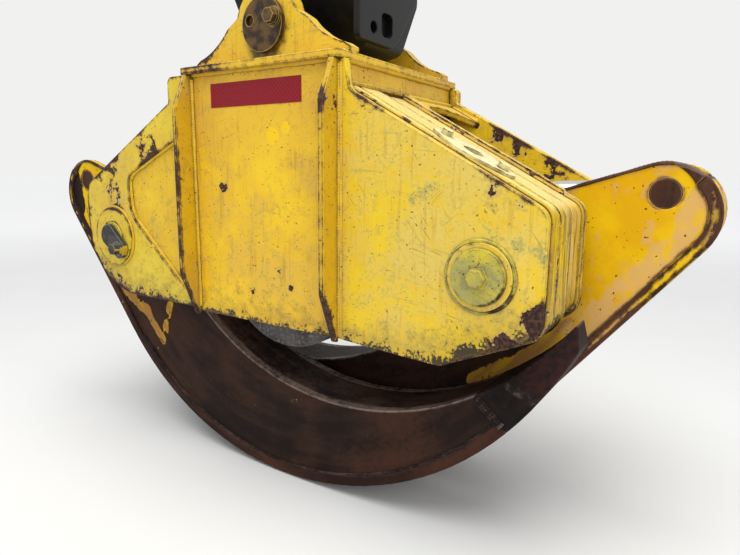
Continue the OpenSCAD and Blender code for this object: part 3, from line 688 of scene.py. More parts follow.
class Dress(Enum):
    """The finishes of the grapple's pieces. Places on them are x and z of the part's frame in metres."""

    # Lemon paint under pale dust, rusted through at the corners, with olive smears beside the boss.
    WING = MachineEnamel(name="enamel_wing", dusty="#D9C96C", dust=0.72, chips=0.7, reach=16.0, scuffs=0.5,
                         foot=WING_FOOT,
                         worn_spots=((0.731, -1.046, 0.05, 0.9), (0.655, -1.125, 0.05, 0.75), (0.695, -1.10, 0.08, 0.5),
                                     (0.32, -0.61, 0.07, 0.62), (0.67, -0.80, 0.1, 0.6)),
                         smears=(((0.594, -0.848), (0.641, -0.899), 0.02), ((0.681, -0.905), (0.745, -0.935), 0.022),
                                 ((0.448, -0.830), (0.494, -0.804), 0.025)))
    # Deeper golden paint, ochre towards the top, with a few deep chips and two patches of fresh paint.
    PANEL = MachineEnamel(name="enamel_panel", clean="#EDC41E", thin="#E2AE12", dusty="#D6B652", dust=0.6, runs=0.45,
                          foot=BOX_FOOT, seed=11.0, chips=0.45, scuffs=0.4, both_sides=False,
                          ochre_top=(-0.85, -0.6, 0.42), fresh_spots=((0.05, -0.69, 0.028), (0.092, -0.671, 0.018)),
                          worn_spots=((-0.128, -0.818, 0.024, 1.1), (0.102, -1.064, 0.014, 1.0),
                                      (0.065, -1.02, 0.022, 0.7), (-0.032, -1.088, 0.02, 0.75)))
    # Pale greenish paint, knocked off in many places.
    PIVOT = MachineEnamel(name="enamel_pivot_plate", clean="#DFC433", thin="#DBB31E", dusty="#C9BB66", chips=0.85,
                          foot=PIVOT_FOOT, seed=21.0, scuffs=0.7, both_sides=False,
                          worn_spots=((-0.429, -0.718, 0.07, 0.82), (-0.632, -0.777, 0.09, 0.75),
                                      (-0.59, -0.868, 0.06, 0.6), (-0.60, -1.14, 0.07, 0.85),
                                      (-0.50, -1.165, 0.06, 0.9), (-0.40, -1.175, 0.06, 0.8),
                                      (-0.738, -0.93, 0.07, 0.65), (0.47, -0.70, 0.07, 0.7),
                                      (0.62, -0.80, 0.08, 0.6), (0.52, -1.15, 0.09, 0.8)))
    # Clean golden paint with large rusty patches near the rear wing.
    BACKING = MachineEnamel(name="enamel_backing", clean="#EAC622", thin="#DFB118", dust=0.35, chips=0.8, seed=25.0,
                            foot=PIVOT_FOOT, both_sides=False,
                            worn_spots=((0.45, -0.675, 0.1, 0.85), (0.585, -0.76, 0.07, 0.85), (0.70, -0.93, 0.07, 0.6),
                                        (0.52, -1.15, 0.09, 0.8)))
    # Paint darkened to paint the shade on the ribs' sides, worn brown along the front edges and at the feet.
    RIB = MachineEnamel(name="enamel_rib_painted_shade", clean="#D0A81C", thin="#C29312", chips=0.55, reach=13.0, nose=0.4, seed=31.0,
                        foot=BOX_FOOT, both_sides=False,
                        worn_spots=((-0.243, -1.15, 0.6, 0.62), (0.243, -1.19, 0.2, 0.75), (0.243, -0.622, 0.035, 0.9),
                                    (-0.243, -0.761, 0.1, 0.36)))
    # Dirty paint with a black film of oil between the lugs.
    TOP = MachineEnamel(name="enamel_top", clean="#E0B928", thin="#D8A41C", chips=0.78, seed=41.0, runs=0.5,
                        both_sides=False, worn_spots=((-0.19, -0.517, 0.13, 0.5),),
                        oil_spots=((0.0, -0.445, 0.1, 0.85),))
    # Paint bleached almost to cream.
    COVER = MachineEnamel(name="enamel_cover", clean="#E2D695", thin="#D8C878", dusty="#D9D2AE", stain="#A8904A",
                          chips=0.45, reach=8.0, seed=51.0)
    # Greenish worn paint, smeared by grease.
    CAP = MachineEnamel(name="enamel_pin_cap", clean="#D8C22C", thin="#C0AC2C", dusty="#8D9067", stain="#857A30",
                        dust=0.6, scuffs=1.2, chips=0.7, reach=12.0, seed=61.0,
                        smears=(((0.565, -0.94), (0.58, -1.0), 0.018), ((0.615, -0.93), (0.65, -1.0), 0.018)),
                        worn_spots=((0.65, -1.03, 0.05, 0.7),))
    # Bent bands: pale dust on the slope, which also paints the sky's highlight on it, brown dirt drawn along the bends.
    SHELL = MachineEnamel(name="enamel_shell", dusty="#E0D8A4", dust=0.55, chips=1.05, seed=71.0,
                          rolled=0.85, foot=WING_FOOT)
    # Paint that the pivot has half worn off.
    HUB = MachineEnamel(name="enamel_hub", chips=1.0, seed=81.0)
    # Paint on weld beads, a little darker, gone from the crowns.
    WELD = MachineEnamel(name="enamel_weld", clean="#DDB61E", thin="#CF9F14", reach=0.0, chips=1.3, seed=91.0,
                         foot=WING_FOOT)
    # Seams between the bands, where little paint is left.
    SEAM = MachineEnamel(name="enamel_seam", clean="#CFA91E", thin="#B98F14", reach=0.0, chips=2.3, rolled=0.7,
                         foot=WING_FOOT, seed=95.0)
    # Polished brown plate with some strokes of old paint, a bare edge at the ear and a painted highlight along its
    # inner edge.
    TONG_A = RubbedRust(name="rubbed_rust_tong_a", ear_side=-1.0, paint_from=0.925, paint_loss=0.75, seed=2.0,
                        strokes=(((-0.72, -1.18), (-0.60, -1.235), 0.03), ((-0.60, -1.235), (-0.526, -1.331), 0.022),
                                 ((-0.478, -1.2), (-0.524, -1.331), 0.02)), rim=(0.18, -0.639, 0.74),
                        bared=(((-0.971, -0.786), (-0.938, -0.901), 0.04), ((-1.015, -0.904), (-0.962, -0.984), 0.03)))
    # The same plate with a yellow ear, pinkish with primer beside its rim, and a painted highlight along its inner
    # edge.
    TONG_B = RubbedRust(name="rubbed_rust_tong_b", ear_side=1.0, paint_from=0.88, paint_loss=0.3, seed=5.0,
                        strokes=(((0.47, -1.325), (0.64, -1.217), 0.03), ((0.66, -1.19), (0.72, -1.14), 0.04)),
                        primed=(((0.963, -0.824), (0.915, -0.938), 0.04), ((0.915, -0.938), (0.824, -1.057), 0.045),
                                ((0.824, -1.057), (0.737, -1.147), 0.06)), rim=(-0.18, -0.639, 0.74))
    # Brown bent plate with few remains of paint.
    WRAP_A = RubbedRust(name="rubbed_rust_wrapper_a", dark="#24140F", mid="#44291F", ear_side=-1.0, paint_from=0.84,
                        paint_loss=1.95, polish=0.4, seed=8.0)
    # A lighter brown, striped with yellow round the ear.
    WRAP_B = RubbedRust(name="rubbed_rust_wrapper_b", dark="#35201A", mid="#593B2E", redness=0.6, ear_side=1.0,
                        paint_from=0.82, paint_loss=1.5, polish=0.4, seed=9.0)
    # Dull reddish brown, always in the shade.
    LINER = RubbedRust(name="rubbed_rust_liner", dark="#1D100D", mid="#35201A", redness=0.8, seed=12.0)
    # Nearly black hardened plate with one mark along its fold, rubbed bright and carrying a painted highlight.
    TIP = RubbedRust(name="rubbed_rust_tip", dark="#0E0A09", mid="#1E1614", red="#43221B", redness=0.6, polish=0.42,
                      rubbed=(((0.655, -1.228), (0.708, -1.25), 0.013),), seed=15.0)
    # Dry brown rust.
    EAR_PIN = RubbedRust(name="rubbed_rust_ear_pin", dark="#2B1B15", mid="#4A3024", redness=0.8, seed=18.0)
    # Dull black paint of the rotator and the link.
    BLACK = ChassisBlack()
    # A greyer black with brown dust.
    BARREL = ChassisBlack(name="barrel_black", base="#1E1D1C", dust="#544C42", seed=6.0)
    # Greasy pin steel.
    PIN = GreasedPin()
    # A bare grey flag with a rest of yellow.
    FLAG = GreasedPin(name="greased_flag", dark="#1F1E1D", mid="#403E3B", light="#86837B",
                      painted=(0.529, -1.021, 0.024))
    # Bright oiled chrome with a dark eye.
    CHROME = ChromedBar()
    # Dried mud on the belly plate.
    DUST = DustedPlate()
    # Dark red tape with its fine cells.
    TAPE = ReflectiveTape()

    def material(self) -> bpy.types.Material:
        """Returns the material, made on first use."""
        return bpy.data.materials.get(self.value.name) or self.value.build()

    def slot(self) -> str:
        """Returns the record's material slot that the finish belongs to."""
        return {MachineEnamel: "yellow_paint", RubbedRust: "worn_steel", ChassisBlack: "black_paint",
                GreasedPin: "pin_steel", ChromedBar: "chromed_rod", DustedPlate: "dusty_steel",
                ReflectiveTape: "reflective_film"}[type(self.value)]


def rounded_path(corners: Sequence[Row]) -> np.ndarray:
    """Evenly spaced points along a closed outline with round corners, as in the part's source.

    Each corner becomes an arc that touches both sides: its middle lies on the bisector, at radius over the sine of
    half the corner's angle. The whole loop is then resampled at equal lengths by interpolation along its length.

    Args:
        corners: Rows of x, z and the corner's radius in millimetres.

    Returns:
        Points of shape (n, 2) in millimetres, the first one not repeated at the end.
    """
    rows = np.array(corners, dtype=float)
    at, radius = rows[:, :2], rows[:, 2]
    before, after = np.roll(at, 1, axis=0) - at, np.roll(at, -1, axis=0) - at
    u = before / np.linalg.norm(before, axis=1)[:, None]
    v = after / np.linalg.norm(after, axis=1)[:, None]
    half = np.arccos(np.clip((u * v).sum(axis=1), -1, 1)) / 2
    bisector = (u + v) / np.maximum(np.linalg.norm(u + v, axis=1), 1e-9)[:, None]
    middle = at + bisector * (radius / np.sin(half))[:, None]
    start = at + u * (radius / np.tan(half))[:, None] - middle
    end = at + v * (radius / np.tan(half))[:, None] - middle
    a0 = np.arctan2(start[:, 1], start[:, 0])
    turn = (np.arctan2(end[:, 1], end[:, 0]) - a0 + 3 * np.pi) % (2 * np.pi) - np.pi
    share = np.linspace(0, 1, 13)
    angle = a0[:, None] + turn[:, None] * share
    arcs = middle[:, None] + radius[:, None, None] * np.stack([np.cos(angle), np.sin(angle)], axis=2)
    loop = arcs.reshape(-1, 2)
    loop = loop[np.linalg.norm(loop - np.roll(loop, 1, axis=0), axis=1) > 1e-6]
    return resample(np.vstack([loop, loop[:1]]), OUTLINE_STEP)[:-1]


def resample(points: np.ndarray, step: float) -> np.ndarray:
    """Points along a line at equal lengths of about one step: each coordinate is interpolated over the length."""
    length = np.concatenate([[0], np.cumsum(np.linalg.norm(np.diff(points, axis=0), axis=1))])
    at = np.linspace(0, length[-1], max(2, int(round(length[-1] / step)) + 1))
    return np.stack([np.interp(at, length, column) for column in points.T], axis=1)


def circle_path(x: float, z: float, radius: float) -> np.ndarray:
    """Points (n, 2) round a circle in x and z: middle plus radius times cosine and sine of an even run of angles."""
    angle = np.linspace(0, 2 * np.pi, int(2 * np.pi * radius / CIRCLE_STEP), endpoint=False)
    return np.stack([x + radius * np.cos(angle), z + radius * np.sin(angle)], axis=1)


def at_depth(points: np.ndarray, y: float) -> np.ndarray:
    """Lifts points (n, 2) in x and z to (n, 3) at one depth y."""
    return np.stack([points[:, 0], np.full(len(points), y), points[:, 1]], axis=1)


def half_turned(points: np.ndarray) -> np.ndarray:
    """The same points half a turn round the upright axis: x and y change sign."""
    return points * np.array([-1, -1, 1])


def fanned(points: np.ndarray, x: float = 300.0, z: float = 90.0) -> np.ndarray:
    """Points (n, 2) of part of a wing's outline, sorted by their angle about a point inside the wing."""
    return points[np.argsort(np.unwrap(np.arctan2(points[:, 1] - z, points[:, 0] - x)))]


def square_axes(along: Sequence[float]) -> tuple[np.ndarray, np.ndarray, np.ndarray]:
    """Returns an axis as a unit vector and two unit vectors square to it: cross products with a slanting one."""
    axis = np.array(along, dtype=float) / np.linalg.norm(along)
    side = np.cross(axis, [0.3, 0.5, 0.81])
    side = side / np.linalg.norm(side)
    return axis, side, np.cross(axis, side)


def placed(name: str, data: bpy.types.ID) -> bpy.types.Object:
    """Makes an object of a mesh, lamp or camera and puts it into the scene."""
    made = bpy.data.objects.new(name, data)
    bpy.context.scene.collection.objects.link(made)
    return made


def shaded(mesh: bpy.types.Mesh, sharp: float, clean: Callable[[bmesh.types.BMesh], object]) -> None:
    """Cleans a mesh with one function, shades it smooth and marks edges that turn by more than some degrees."""
    work = bmesh.new()
    work.from_mesh(mesh)
    clean(work)
    for face in work.faces:
        face.smooth = True
    work.to_mesh(mesh)
    work.free()
    mesh.set_sharp_from_angle(angle=math.radians(sharp))


@dataclass
class Piece:
    """One new mesh piece: it collects surfaces in the head's millimetres and becomes one Blender object.

    The head's millimetres count z up from the tong pivots, as part.scad's head does, and drop takes them down to
    the boom pin's frame. A turned piece is made half a turn round.
    """

    name: str
    body: str
    dress: Dress
    drop: float = PIVOT_DROP
    turned: bool = False
    points: list[np.ndarray] = field(default_factory=list)
    faces: list[np.ndarray] = field(default_factory=list)
    caps: list[list[int]] = field(default_factory=list)
    count: int = 0

    def surface(self, grid: np.ndarray, loop: bool = False) -> "Piece":
        """Adds a tube given on a grid of two parameters, with flat faces that close its ends.

        Every face joins the grid's points (i, j), (i+1, j), (i+1, j+1) and (i, j+1), taken for the whole grid at once.

        Args:
            grid: Points of shape (n, m, 3): n steps along the tube, m points round it.
            loop: Whether the last step joins the first, so that there are no ends.

        Returns:
            The piece itself.
        """
        n, m = grid.shape[:2]
        i = np.arange(n if loop else n - 1)[:, None]
        j = np.arange(m)[None, :]

        def corner(di: int, dj: int) -> np.ndarray:
            """Numbers of the points that lie di steps along and dj points round from each face's first one."""
            return ((i + di) % n) * m + (j + dj) % m + self.count

        quads = np.stack([corner(0, 0), corner(0, 1), corner(1, 1), corner(1, 0)], axis=2)
        self.faces.append(quads.reshape(-1, 4))
        if not loop:
            self.caps.append(list(range(self.count + m - 1, self.count - 1, -1)))
            self.caps.append(list(range(self.count + (n - 1) * m, self.count + n * m)))
        self.points.append(grid.reshape(-1, 3))
        self.count += n * m
        return self

    def bead(self, path: np.ndarray, radius: float, seed: int, loop: bool = False, pitch: float = 7.0) -> "Piece":
        """Adds a weld bead along a path.

        The bead is a tube whose radius swells once per ripple, by the absolute value of a sine along its length, and
        wanders a little with two slow sines of seeded phase. Its ends taper to a blunt point.

        Args:
            path: Points (n, 3) in millimetres, about 2 mm apart.
            radius: Mean radius in millimetres.
            seed: Number that picks the phases.
            loop: Whether the bead closes on itself.
            pitch: Length of one ripple in millimetres.

        Returns:
            The piece itself.
        """
        phase = np.random.default_rng(seed).uniform(0, 2 * np.pi, 3)
        ends = np.vstack([path, path[:1]]) if loop else path
        path = resample(ends, BEAD_STEP)
        path = path[:-1] if loop else path
        ahead = np.roll(path, -1, axis=0) - np.roll(path, 1, axis=0) if loop else np.gradient(path, axis=0)
        ahead = ahead / np.linalg.norm(ahead, axis=1)[:, None]
        side = np.cross(ahead, np.array([0.31, 0.83, 0.46]))
        side = side / np.linalg.norm(side, axis=1)[:, None]
        over = np.cross(ahead, side)
        s = np.arange(len(path)) * BEAD_STEP
        size = radius * (0.84 + 0.2 * np.abs(np.sin(np.pi * s / pitch + phase[0]))
                         + 0.08 * np.sin(s / 23 + phase[1]) + 0.06 * np.sin(s / 9.1 + phase[2]))
        if not loop:
            fade = np.minimum(np.arange(len(path)), np.arange(len(path))[::-1]) / 3
            size = size * np.clip(0.35 + 0.65 * fade, 0.35, 1)
        angle = np.linspace(0, 2 * np.pi, BEAD_SIDES, endpoint=False)
        ring = np.cos(angle)[None, :, None] * side[:, None] + np.sin(angle)[None, :, None] * over[:, None]
        return self.surface(path[:, None] + ring * size[:, None, None], loop=loop)

    def straight(self, start: Sequence[float], end: Sequence[float], radius: float, seed: int) -> "Piece":
        """Adds a weld bead along a straight line."""
        return self.bead(np.array([start, end], dtype=float), radius, seed)

    def spun(self, at: Sequence[float], along: Sequence[float], heights: np.ndarray, radii: np.ndarray) -> "Piece":
        """Adds a shape round an axis: at each height, one ring of points at their own radii.

        Args:
            at: The axis's starting point in millimetres.
            along: The axis's direction.
            heights: Distance of each ring along the axis in millimetres, from one end to the other.
            radii: Radius in millimetres, in a row for each ring and a column for each angle.

        Returns:
            The piece itself.
        """
        axis, side, over = square_axes(along)
        angle = np.linspace(0, 2 * np.pi, radii.shape[1], endpoint=False)
        ring = np.cos(angle)[:, None] * side + np.sin(angle)[:, None] * over
        return self.surface(np.array(at, dtype=float) + heights[:, None, None] * axis + radii[:, :, None] * ring)

    def hex_bolt(self, at: Sequence[float], along: Sequence[float], across: float, height: float,
                 turn: float) -> "Piece":
        """Adds a washer and a hex head with a chamfered crown.

        The head's radius over its angle is that of a hexagon: half the width across flats over the cosine of the
        angle from the nearest flat. At the crown it is held to a circle, which cuts the six corners off.

        Args:
            at: Middle of the washer's underside in millimetres.
            along: Direction in which the head stands out.
            across: Width across flats in millimetres.
            height: Height of the head over the washer in millimetres.
            turn: Turn of the head in radians.

        Returns:
            The piece itself.
        """
        half = across / 2
        washer = np.array([(0, 0.5), (0, 1.42), (2.6, 1.46), (3.6, 1.36), (3.8, 0.8)])
        self.spun(at, along, washer[:, 0], np.repeat(half * washer[:, 1:], WASHER_SIDES, axis=1))
        angle = np.linspace(0, 2 * np.pi, HEX_POINTS, endpoint=False)
        flat = half / np.cos((angle + turn) % (np.pi / 3) - np.pi / 6)
        # Rows of height and of the circle's radius over half the width. The two large radii leave the hexagon whole.
        levels = np.array([(3.4, 9.0), (3.6 + height * 0.78, 9.0), (3.6 + height * 0.93, 1.03),
                           (3.6 + height, 0.9), (3.6 + height * 0.985, 0.5)])
        return self.spun(at, along, levels[:, 0], np.minimum(flat[None, :], half * levels[:, 1:]))

    def build(self) -> bpy.types.Object:
        """Makes the object from all surfaces, dresses it and lets it ride on its body.

        Returns:
            The new object.
        """
        points = np.vstack(self.points)
        if self.turned:
            points = half_turned(points)
        points = (points - np.array([0, 0, self.drop])) * MM
        quads = np.vstack(self.faces).tolist() + self.caps
        mesh = bpy.data.meshes.new(self.name)
        mesh.from_pydata(points.tolist(), [], quads)
        shaded(mesh, NEW_SHARP, lambda work: bmesh.ops.recalc_face_normals(work, faces=work.faces))
        mesh.materials.append(self.dress.material())
        piece = placed(self.name, mesh)
        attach(piece, self.body)
        self.dress.slot()
        log.info("built %s with %d faces", self.name, len(quads))
        return piece


def dressed_copy(node: str, dress: Dress, round_mm: float) -> bpy.types.Object:
    """Copies a CAD node, merges its loose triangles, rounds its edges and gives it a finish.

    Args:
        node: The CAD node that the copy stands for.
        dress: Its finish.
        round_mm: Width of the rounded edges in millimetres, or 0 for none.

    Returns:
        The new piece, riding on the node's body.
    """
    mesh = frame["nodes"][node].data.copy()
    mesh.name = f"{node}_dressed"
    mesh.materials.clear()
    mesh.materials.append(dress.material())

    def merge(work: bmesh.types.BMesh) -> None:
        """Joins the loose triangles and takes out the edges between faces of one plane."""
        bmesh.ops.remove_doubles(work, verts=work.verts, dist=MERGE)
        bmesh.ops.dissolve_limit(work, angle_limit=math.radians(0.4), verts=work.verts, edges=work.edges)

    shaded(mesh, CAD_SHARP, merge)
    piece = placed(f"{node}_dressed", mesh)
    if round_mm:
        bevel = piece.modifiers.new("rounded_edges", "BEVEL")
        bevel.width = round_mm * MM
        bevel.segments = 2
        bevel.limit_method = "ANGLE"
        bevel.angle_limit = math.radians(CAD_SHARP)
        bevel.harden_normals = True
    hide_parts(node)
    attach(piece, frame["nodes"][node]["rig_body"])
    dress.slot()
    log.info("dressed %s", node)
    return piece


@dataclass
class Studio:
    """The floor, the soft light and the camera at the photograph's place: metres, degrees, watts and pixels."""

    picture_width: int = 740
    focal_px: float = 575.2
    azimuth: float = 33.14
    down: float = 10.48
    roll: float = 0.62
    eye: tuple[float, float, float] = (1.0446, -1.368, -0.7719)
    sensor: float = 36.0
    floor_reach: float = 60.0
    floor_gap: float = 0.004
    background: str = "#F1F1F0"
    sky: str = "#EDF0F3"
    sky_strength: float = 0.72
    lamps: tuple[tuple[str, tuple[float, float, float], float, float], ...] = (
        ("sky_panel", (0.5, -1.2, 3.0), 4.5, 190.0), ("side_panel", (3.2, -2.2, 0.2), 2.5, 26.0))
    aim: tuple[float, float, float] = (0.0, 0.0, -1.0)

    def camera(self) -> None:
        """Places the camera: forward, right and up are unit vectors worked out from the three angles."""
        az, down, roll = (math.radians(a) for a in (self.azimuth, self.down, self.roll))
        forward = Vector((-math.sin(az) * math.cos(down), math.cos(az) * math.cos(down), -math.sin(down)))
        right = Vector((math.cos(az), math.sin(az), 0))
        up = right.cross(forward)
        side = right * math.cos(roll) + up * math.sin(roll)
        top = up * math.cos(roll) - right * math.sin(roll)
        data = bpy.data.cameras.new("photo_camera")
        data.sensor_width = self.sensor
        data.lens = self.focal_px / self.picture_width * self.sensor
        data.clip_end = 100
        camera = placed("photo_camera", data)
        camera.matrix_world = Matrix.Translation(self.eye) @ Matrix((side, top, -forward)).transposed().to_4x4()
        bpy.context.scene.camera = camera

    @staticmethod
    def seen(tree: bpy.types.NodeTree) -> Socket:
        """1 for rays of the camera and those that metal or glass sends on, 0 for rays that light the object."""
        path = add_node(tree, "ShaderNodeLightPath").outputs
        share = path["Is Camera Ray"]
        for kind in ("Glossy", "Transmission"):
            share = add_node(tree, "ShaderNodeMath", {0: share, 1: path[f"Is {kind} Ray"]},
                             operation="MAXIMUM").outputs[0]
        return share

    def floor(self) -> None:
        """A wide pale floor just under the tongs. Far out it fades into the background, for seen rays only."""
        low, reach = CAD_BOX[0][2] - self.floor_gap, self.floor_reach
        data = bpy.data.meshes.new("floor")
        data.from_pydata([(-reach, -reach, low), (reach, -reach, low), (reach, reach, low), (-reach, reach, low)],
                         [], [(0, 1, 2, 3)])
        s = Shader("pale_floor")
        away = s.add("ShaderNodeVectorMath", {0: s.place}, operation="LENGTH").outputs["Value"]
        glow = s.times(s.step(away, 1.6, 9.0), s.times(self.seen(s.tree), 0.4))
        data.materials.append(s.finish(base_color=s.between(s.noise(600, 3), "#E9E8E6", "#E4E3E0"), roughness=0.9,
                                       emission_color=linear(self.background), emission_strength=glow))
        placed("floor", data)

    def light(self) -> None:
        """An overcast sky that looks white where it is seen, a large soft lamp overhead and a weak one at the side."""
        world = bpy.data.worlds.new("overcast")
        bpy.context.scene.world = world
        world.use_nodes = True
        tree = world.node_tree
        tree.nodes.clear()
        sky = add_node(tree, "ShaderNodeBackground", {"Color": linear(self.sky), "Strength": self.sky_strength})
        white = add_node(tree, "ShaderNodeBackground", {"Color": linear(self.background)})
        mix = add_node(tree, "ShaderNodeMixShader", {0: self.seen(tree), 1: sky.outputs[0], 2: white.outputs[0]})
        add_node(tree, "ShaderNodeOutputWorld", {"Surface": mix.outputs[0]})
        for name, place, size, power in self.lamps:
            data = bpy.data.lights.new(name, "AREA")
            data.shape = "DISK"
            data.size = size
            data.energy = power
            lamp = placed(name, data)
            lamp.location = place
            lamp.rotation_euler = (Vector(self.aim) - Vector(place)).to_track_quat("-Z", "Y").to_euler()

    def build(self) -> None:
        """Makes the whole studio."""
        self.camera()
        self.floor()
        self.light()
        bpy.context.scene.view_settings.view_transform = "Standard"


@dataclass
class Head:
    """The welded head: centre box, two hollow wings and two thin pivot plates, each pair half a turn apart.

    All sizes are in millimetres in the head's own frame, where front is the panel's face and plate the thickness of a
    wing's face. parts lists the nodes that stand at the front and, half turned, at the rear.
    """

    front: float = -288.0
    box_side: float = 254.0
    box_top: float = 454.0
    box_floor: float = -190.0
    rib_x: float = 243.0
    rib_half: float = 8.0
    plate: float = 20.0
    wing_half: float = 740.0
    wing_top: tuple[float, float] = (284.0, 388.0)
    slope: float = math.radians(28.7)
    pivot_x: float = 605.0
    parts: tuple[tuple[str, Dress, float], ...] = (
        ("panel", Dress.PANEL, 1.0), ("ribs", Dress.RIB, 2.5), ("wing_face", Dress.WING, 3.0),
        ("wing_shell", Dress.SHELL, 2.5), ("wing_back", Dress.SHELL, 2.5), ("wing_cover", Dress.COVER, 2.0),
        ("pivot_plate", Dress.BACKING, 2.5), ("pivot_doubler", Dress.PIVOT, 2.5), ("slot_bridge", Dress.TOP, 2.5))

    def wing_z(self, x: float) -> float:
        """Height of the sloping top at x: the start's height less the run times the tangent of the slope."""
        return self.wing_top[1] - (x - self.wing_top[0]) * math.tan(self.slope)

    def wing_corners(self, inset: float) -> list[Row]:
        """Corner rows of the wing's outline, drawn in by a margin."""
        side = self.wing_half - inset
        return [(self.box_side, self.box_floor - 6 + inset, 0), (510, -211 + inset, 40), (side, -112 + inset, 55),
                (side, self.wing_z(side) - inset, 40), (self.box_side, self.wing_z(self.box_side) - inset, 0)]

    def pivot_corners(self, inset: float) -> list[Row]:
        """Corner rows of the thin pivot plate's outline up to the shoulder, seen as a wing to the right."""
        reach = self.pivot_x + 142 - inset
        return [(self.box_side, -178 + inset, 0), (reach, -178 + inset, 228 - inset),
                (reach, self.wing_z(reach) + 19 - inset, 78 - inset),
                (self.box_side, self.wing_z(self.box_side) + 19 - inset, 0)]

    def slope_point(self, along: float, y: float, lift: float = 2.0) -> list[float]:
        """A point on the wings' sloping top plane, from its distance along the slope from the box and its y."""
        return [self.box_side + along * math.cos(self.slope), y,
                self.wing_z(self.box_side) - along * math.sin(self.slope) + lift]

    def window_corners(self) -> list[Row]:
        """Corner rows of the window in the pivot plate's doubler."""
        return [(278, 300, 8), (528, 186, 45), (523, 72, 100), (292, -130, 8)]

    def rib_welds(self, side: str, turned: bool) -> None:
        """Beads on both sides of both ribs and down the box's corners, where rib, panel and wing meet."""
        piece = Piece(f"{side}_rib_welds", "head", Dress.WELD, turned=turned)
        front, foot, top = self.front, self.box_floor, self.box_top
        for k, x in enumerate((-self.rib_x, self.rib_x)):
            for m, edge in enumerate((-self.rib_half, self.rib_half)):
                piece.straight((x + edge, front - 1, foot + 4), (x + edge, front - 1, top - 6), 7.5, 10 * k + m)
        for seed, x in ((31, self.box_side + 1), (32, -self.box_side - 1)):
            piece.straight((x, front + 1.5, foot), (x, front + 1.5, top - 4), 7.0, seed)
        piece.straight((-234, front - 2, top - 1), (234, front - 2, top - 1), 6.5, 33)
        piece.straight((self.box_side + 2, front + 26, top - 1), (self.box_side + 2, -front - 24, top - 1), 6.5, 34)
        piece.build()

    def wing_welds(self, side: str, turned: bool) -> None:
        """Beads round the wing, between face and shell, in both grooves and at the back plate, and one at the box."""
        piece = Piece(f"{side}_wing_welds", "head", Dress.SEAM, turned=turned)
        seams = ((self.front + self.plate + 1, 1.5, 4.2), (-222.0, 5.0, 6.0), (-131.0, 7.0, 6.0),
                 (-self.plate - 1, 6.0, 5.0))
        for k, (y, inset, radius) in enumerate(seams):
            loop = rounded_path(self.wing_corners(inset))
            piece.bead(at_depth(fanned(loop[loop[:, 0] > self.box_side + 6]), y), radius, 40 + k)
        piece.straight(self.slope_point(3, self.front + self.plate), self.slope_point(3, -self.plate), 7.5, 45)
        piece.build()

    def bridge_welds(self, side: str, turned: bool) -> None:
        """Beads where the hollowed plate meets the box, the thin pivot plate and the wing beside it."""
        piece = Piece(f"{side}_bridge_welds", "head", Dress.WELD, turned=not turned)
        inner = -self.front - self.plate
        lines = (((9, 4), (9, inner - 4)), ((12, inner - 1), (112, inner - 1)), ((12, 1), (86, 1)))
        for k, (first, last) in enumerate(lines):
            piece.straight(self.slope_point(*first, lift=1.0), self.slope_point(*last, lift=1.0), 7.0, 47 + k)
        piece.build()

    def boss_welds(self, side: str, turned: bool) -> None:
        """The weld round the pin's boss in the wing's face."""
        piece = Piece(f"{side}_boss_weld", "head", Dress.CAP, turned=turned)
        piece.bead(at_depth(circle_path(self.pivot_x, 0, 74), self.front - 1), 5.0, 51, loop=True)
        piece.build()

    def doubler_welds(self, side: str, turned: bool) -> None:
        """Beads along the doubler's window, round its outline and round the pivot's ring."""
        piece = Piece(f"{side}_doubler_welds", "head", Dress.WELD, turned=turned)
        window = rounded_path(self.window_corners()) * np.array([-1, 1])
        piece.bead(at_depth(window, self.front - 1), 7.0, 61, loop=True)
        piece.bead(at_depth(circle_path(-self.pivot_x, 0, 91), self.front - 13), 5.0, 62, loop=True)
        rim = rounded_path(self.pivot_corners(1.5))
        rim = rim[(rim[:, 0] > self.box_side + 80) | ((rim[:, 0] > self.box_side + 14) & (rim[:, 1] < 0))]
        piece.bead(at_depth(fanned(rim) * np.array([-1, 1]), self.front), 4.0, 63)
        piece.build()

    def build(self) -> None:
        """Dresses the head's nodes and adds welds and rings on both sides."""
        for side, turned in SIDES:
            for part, dress, round_mm in self.parts:
                dressed_copy(f"{side}_{part}", dress, round_mm)
            self.rib_welds(side, turned)
            self.wing_welds(side, turned)
            self.bridge_welds(side, turned)
            self.boss_welds(side, turned)
            self.doubler_welds(side, turned)
        for wall in ("left_side_wall", "right_side_wall"):
            dressed_copy(wall, Dress.PANEL, 1.5)
        dressed_copy("top_plate", Dress.TOP, 3.0)
        dressed_copy("belly_plate", Dress.DUST, 4.0)
        dressed_copy("reflective_strip", Dress.TAPE, 0.0)


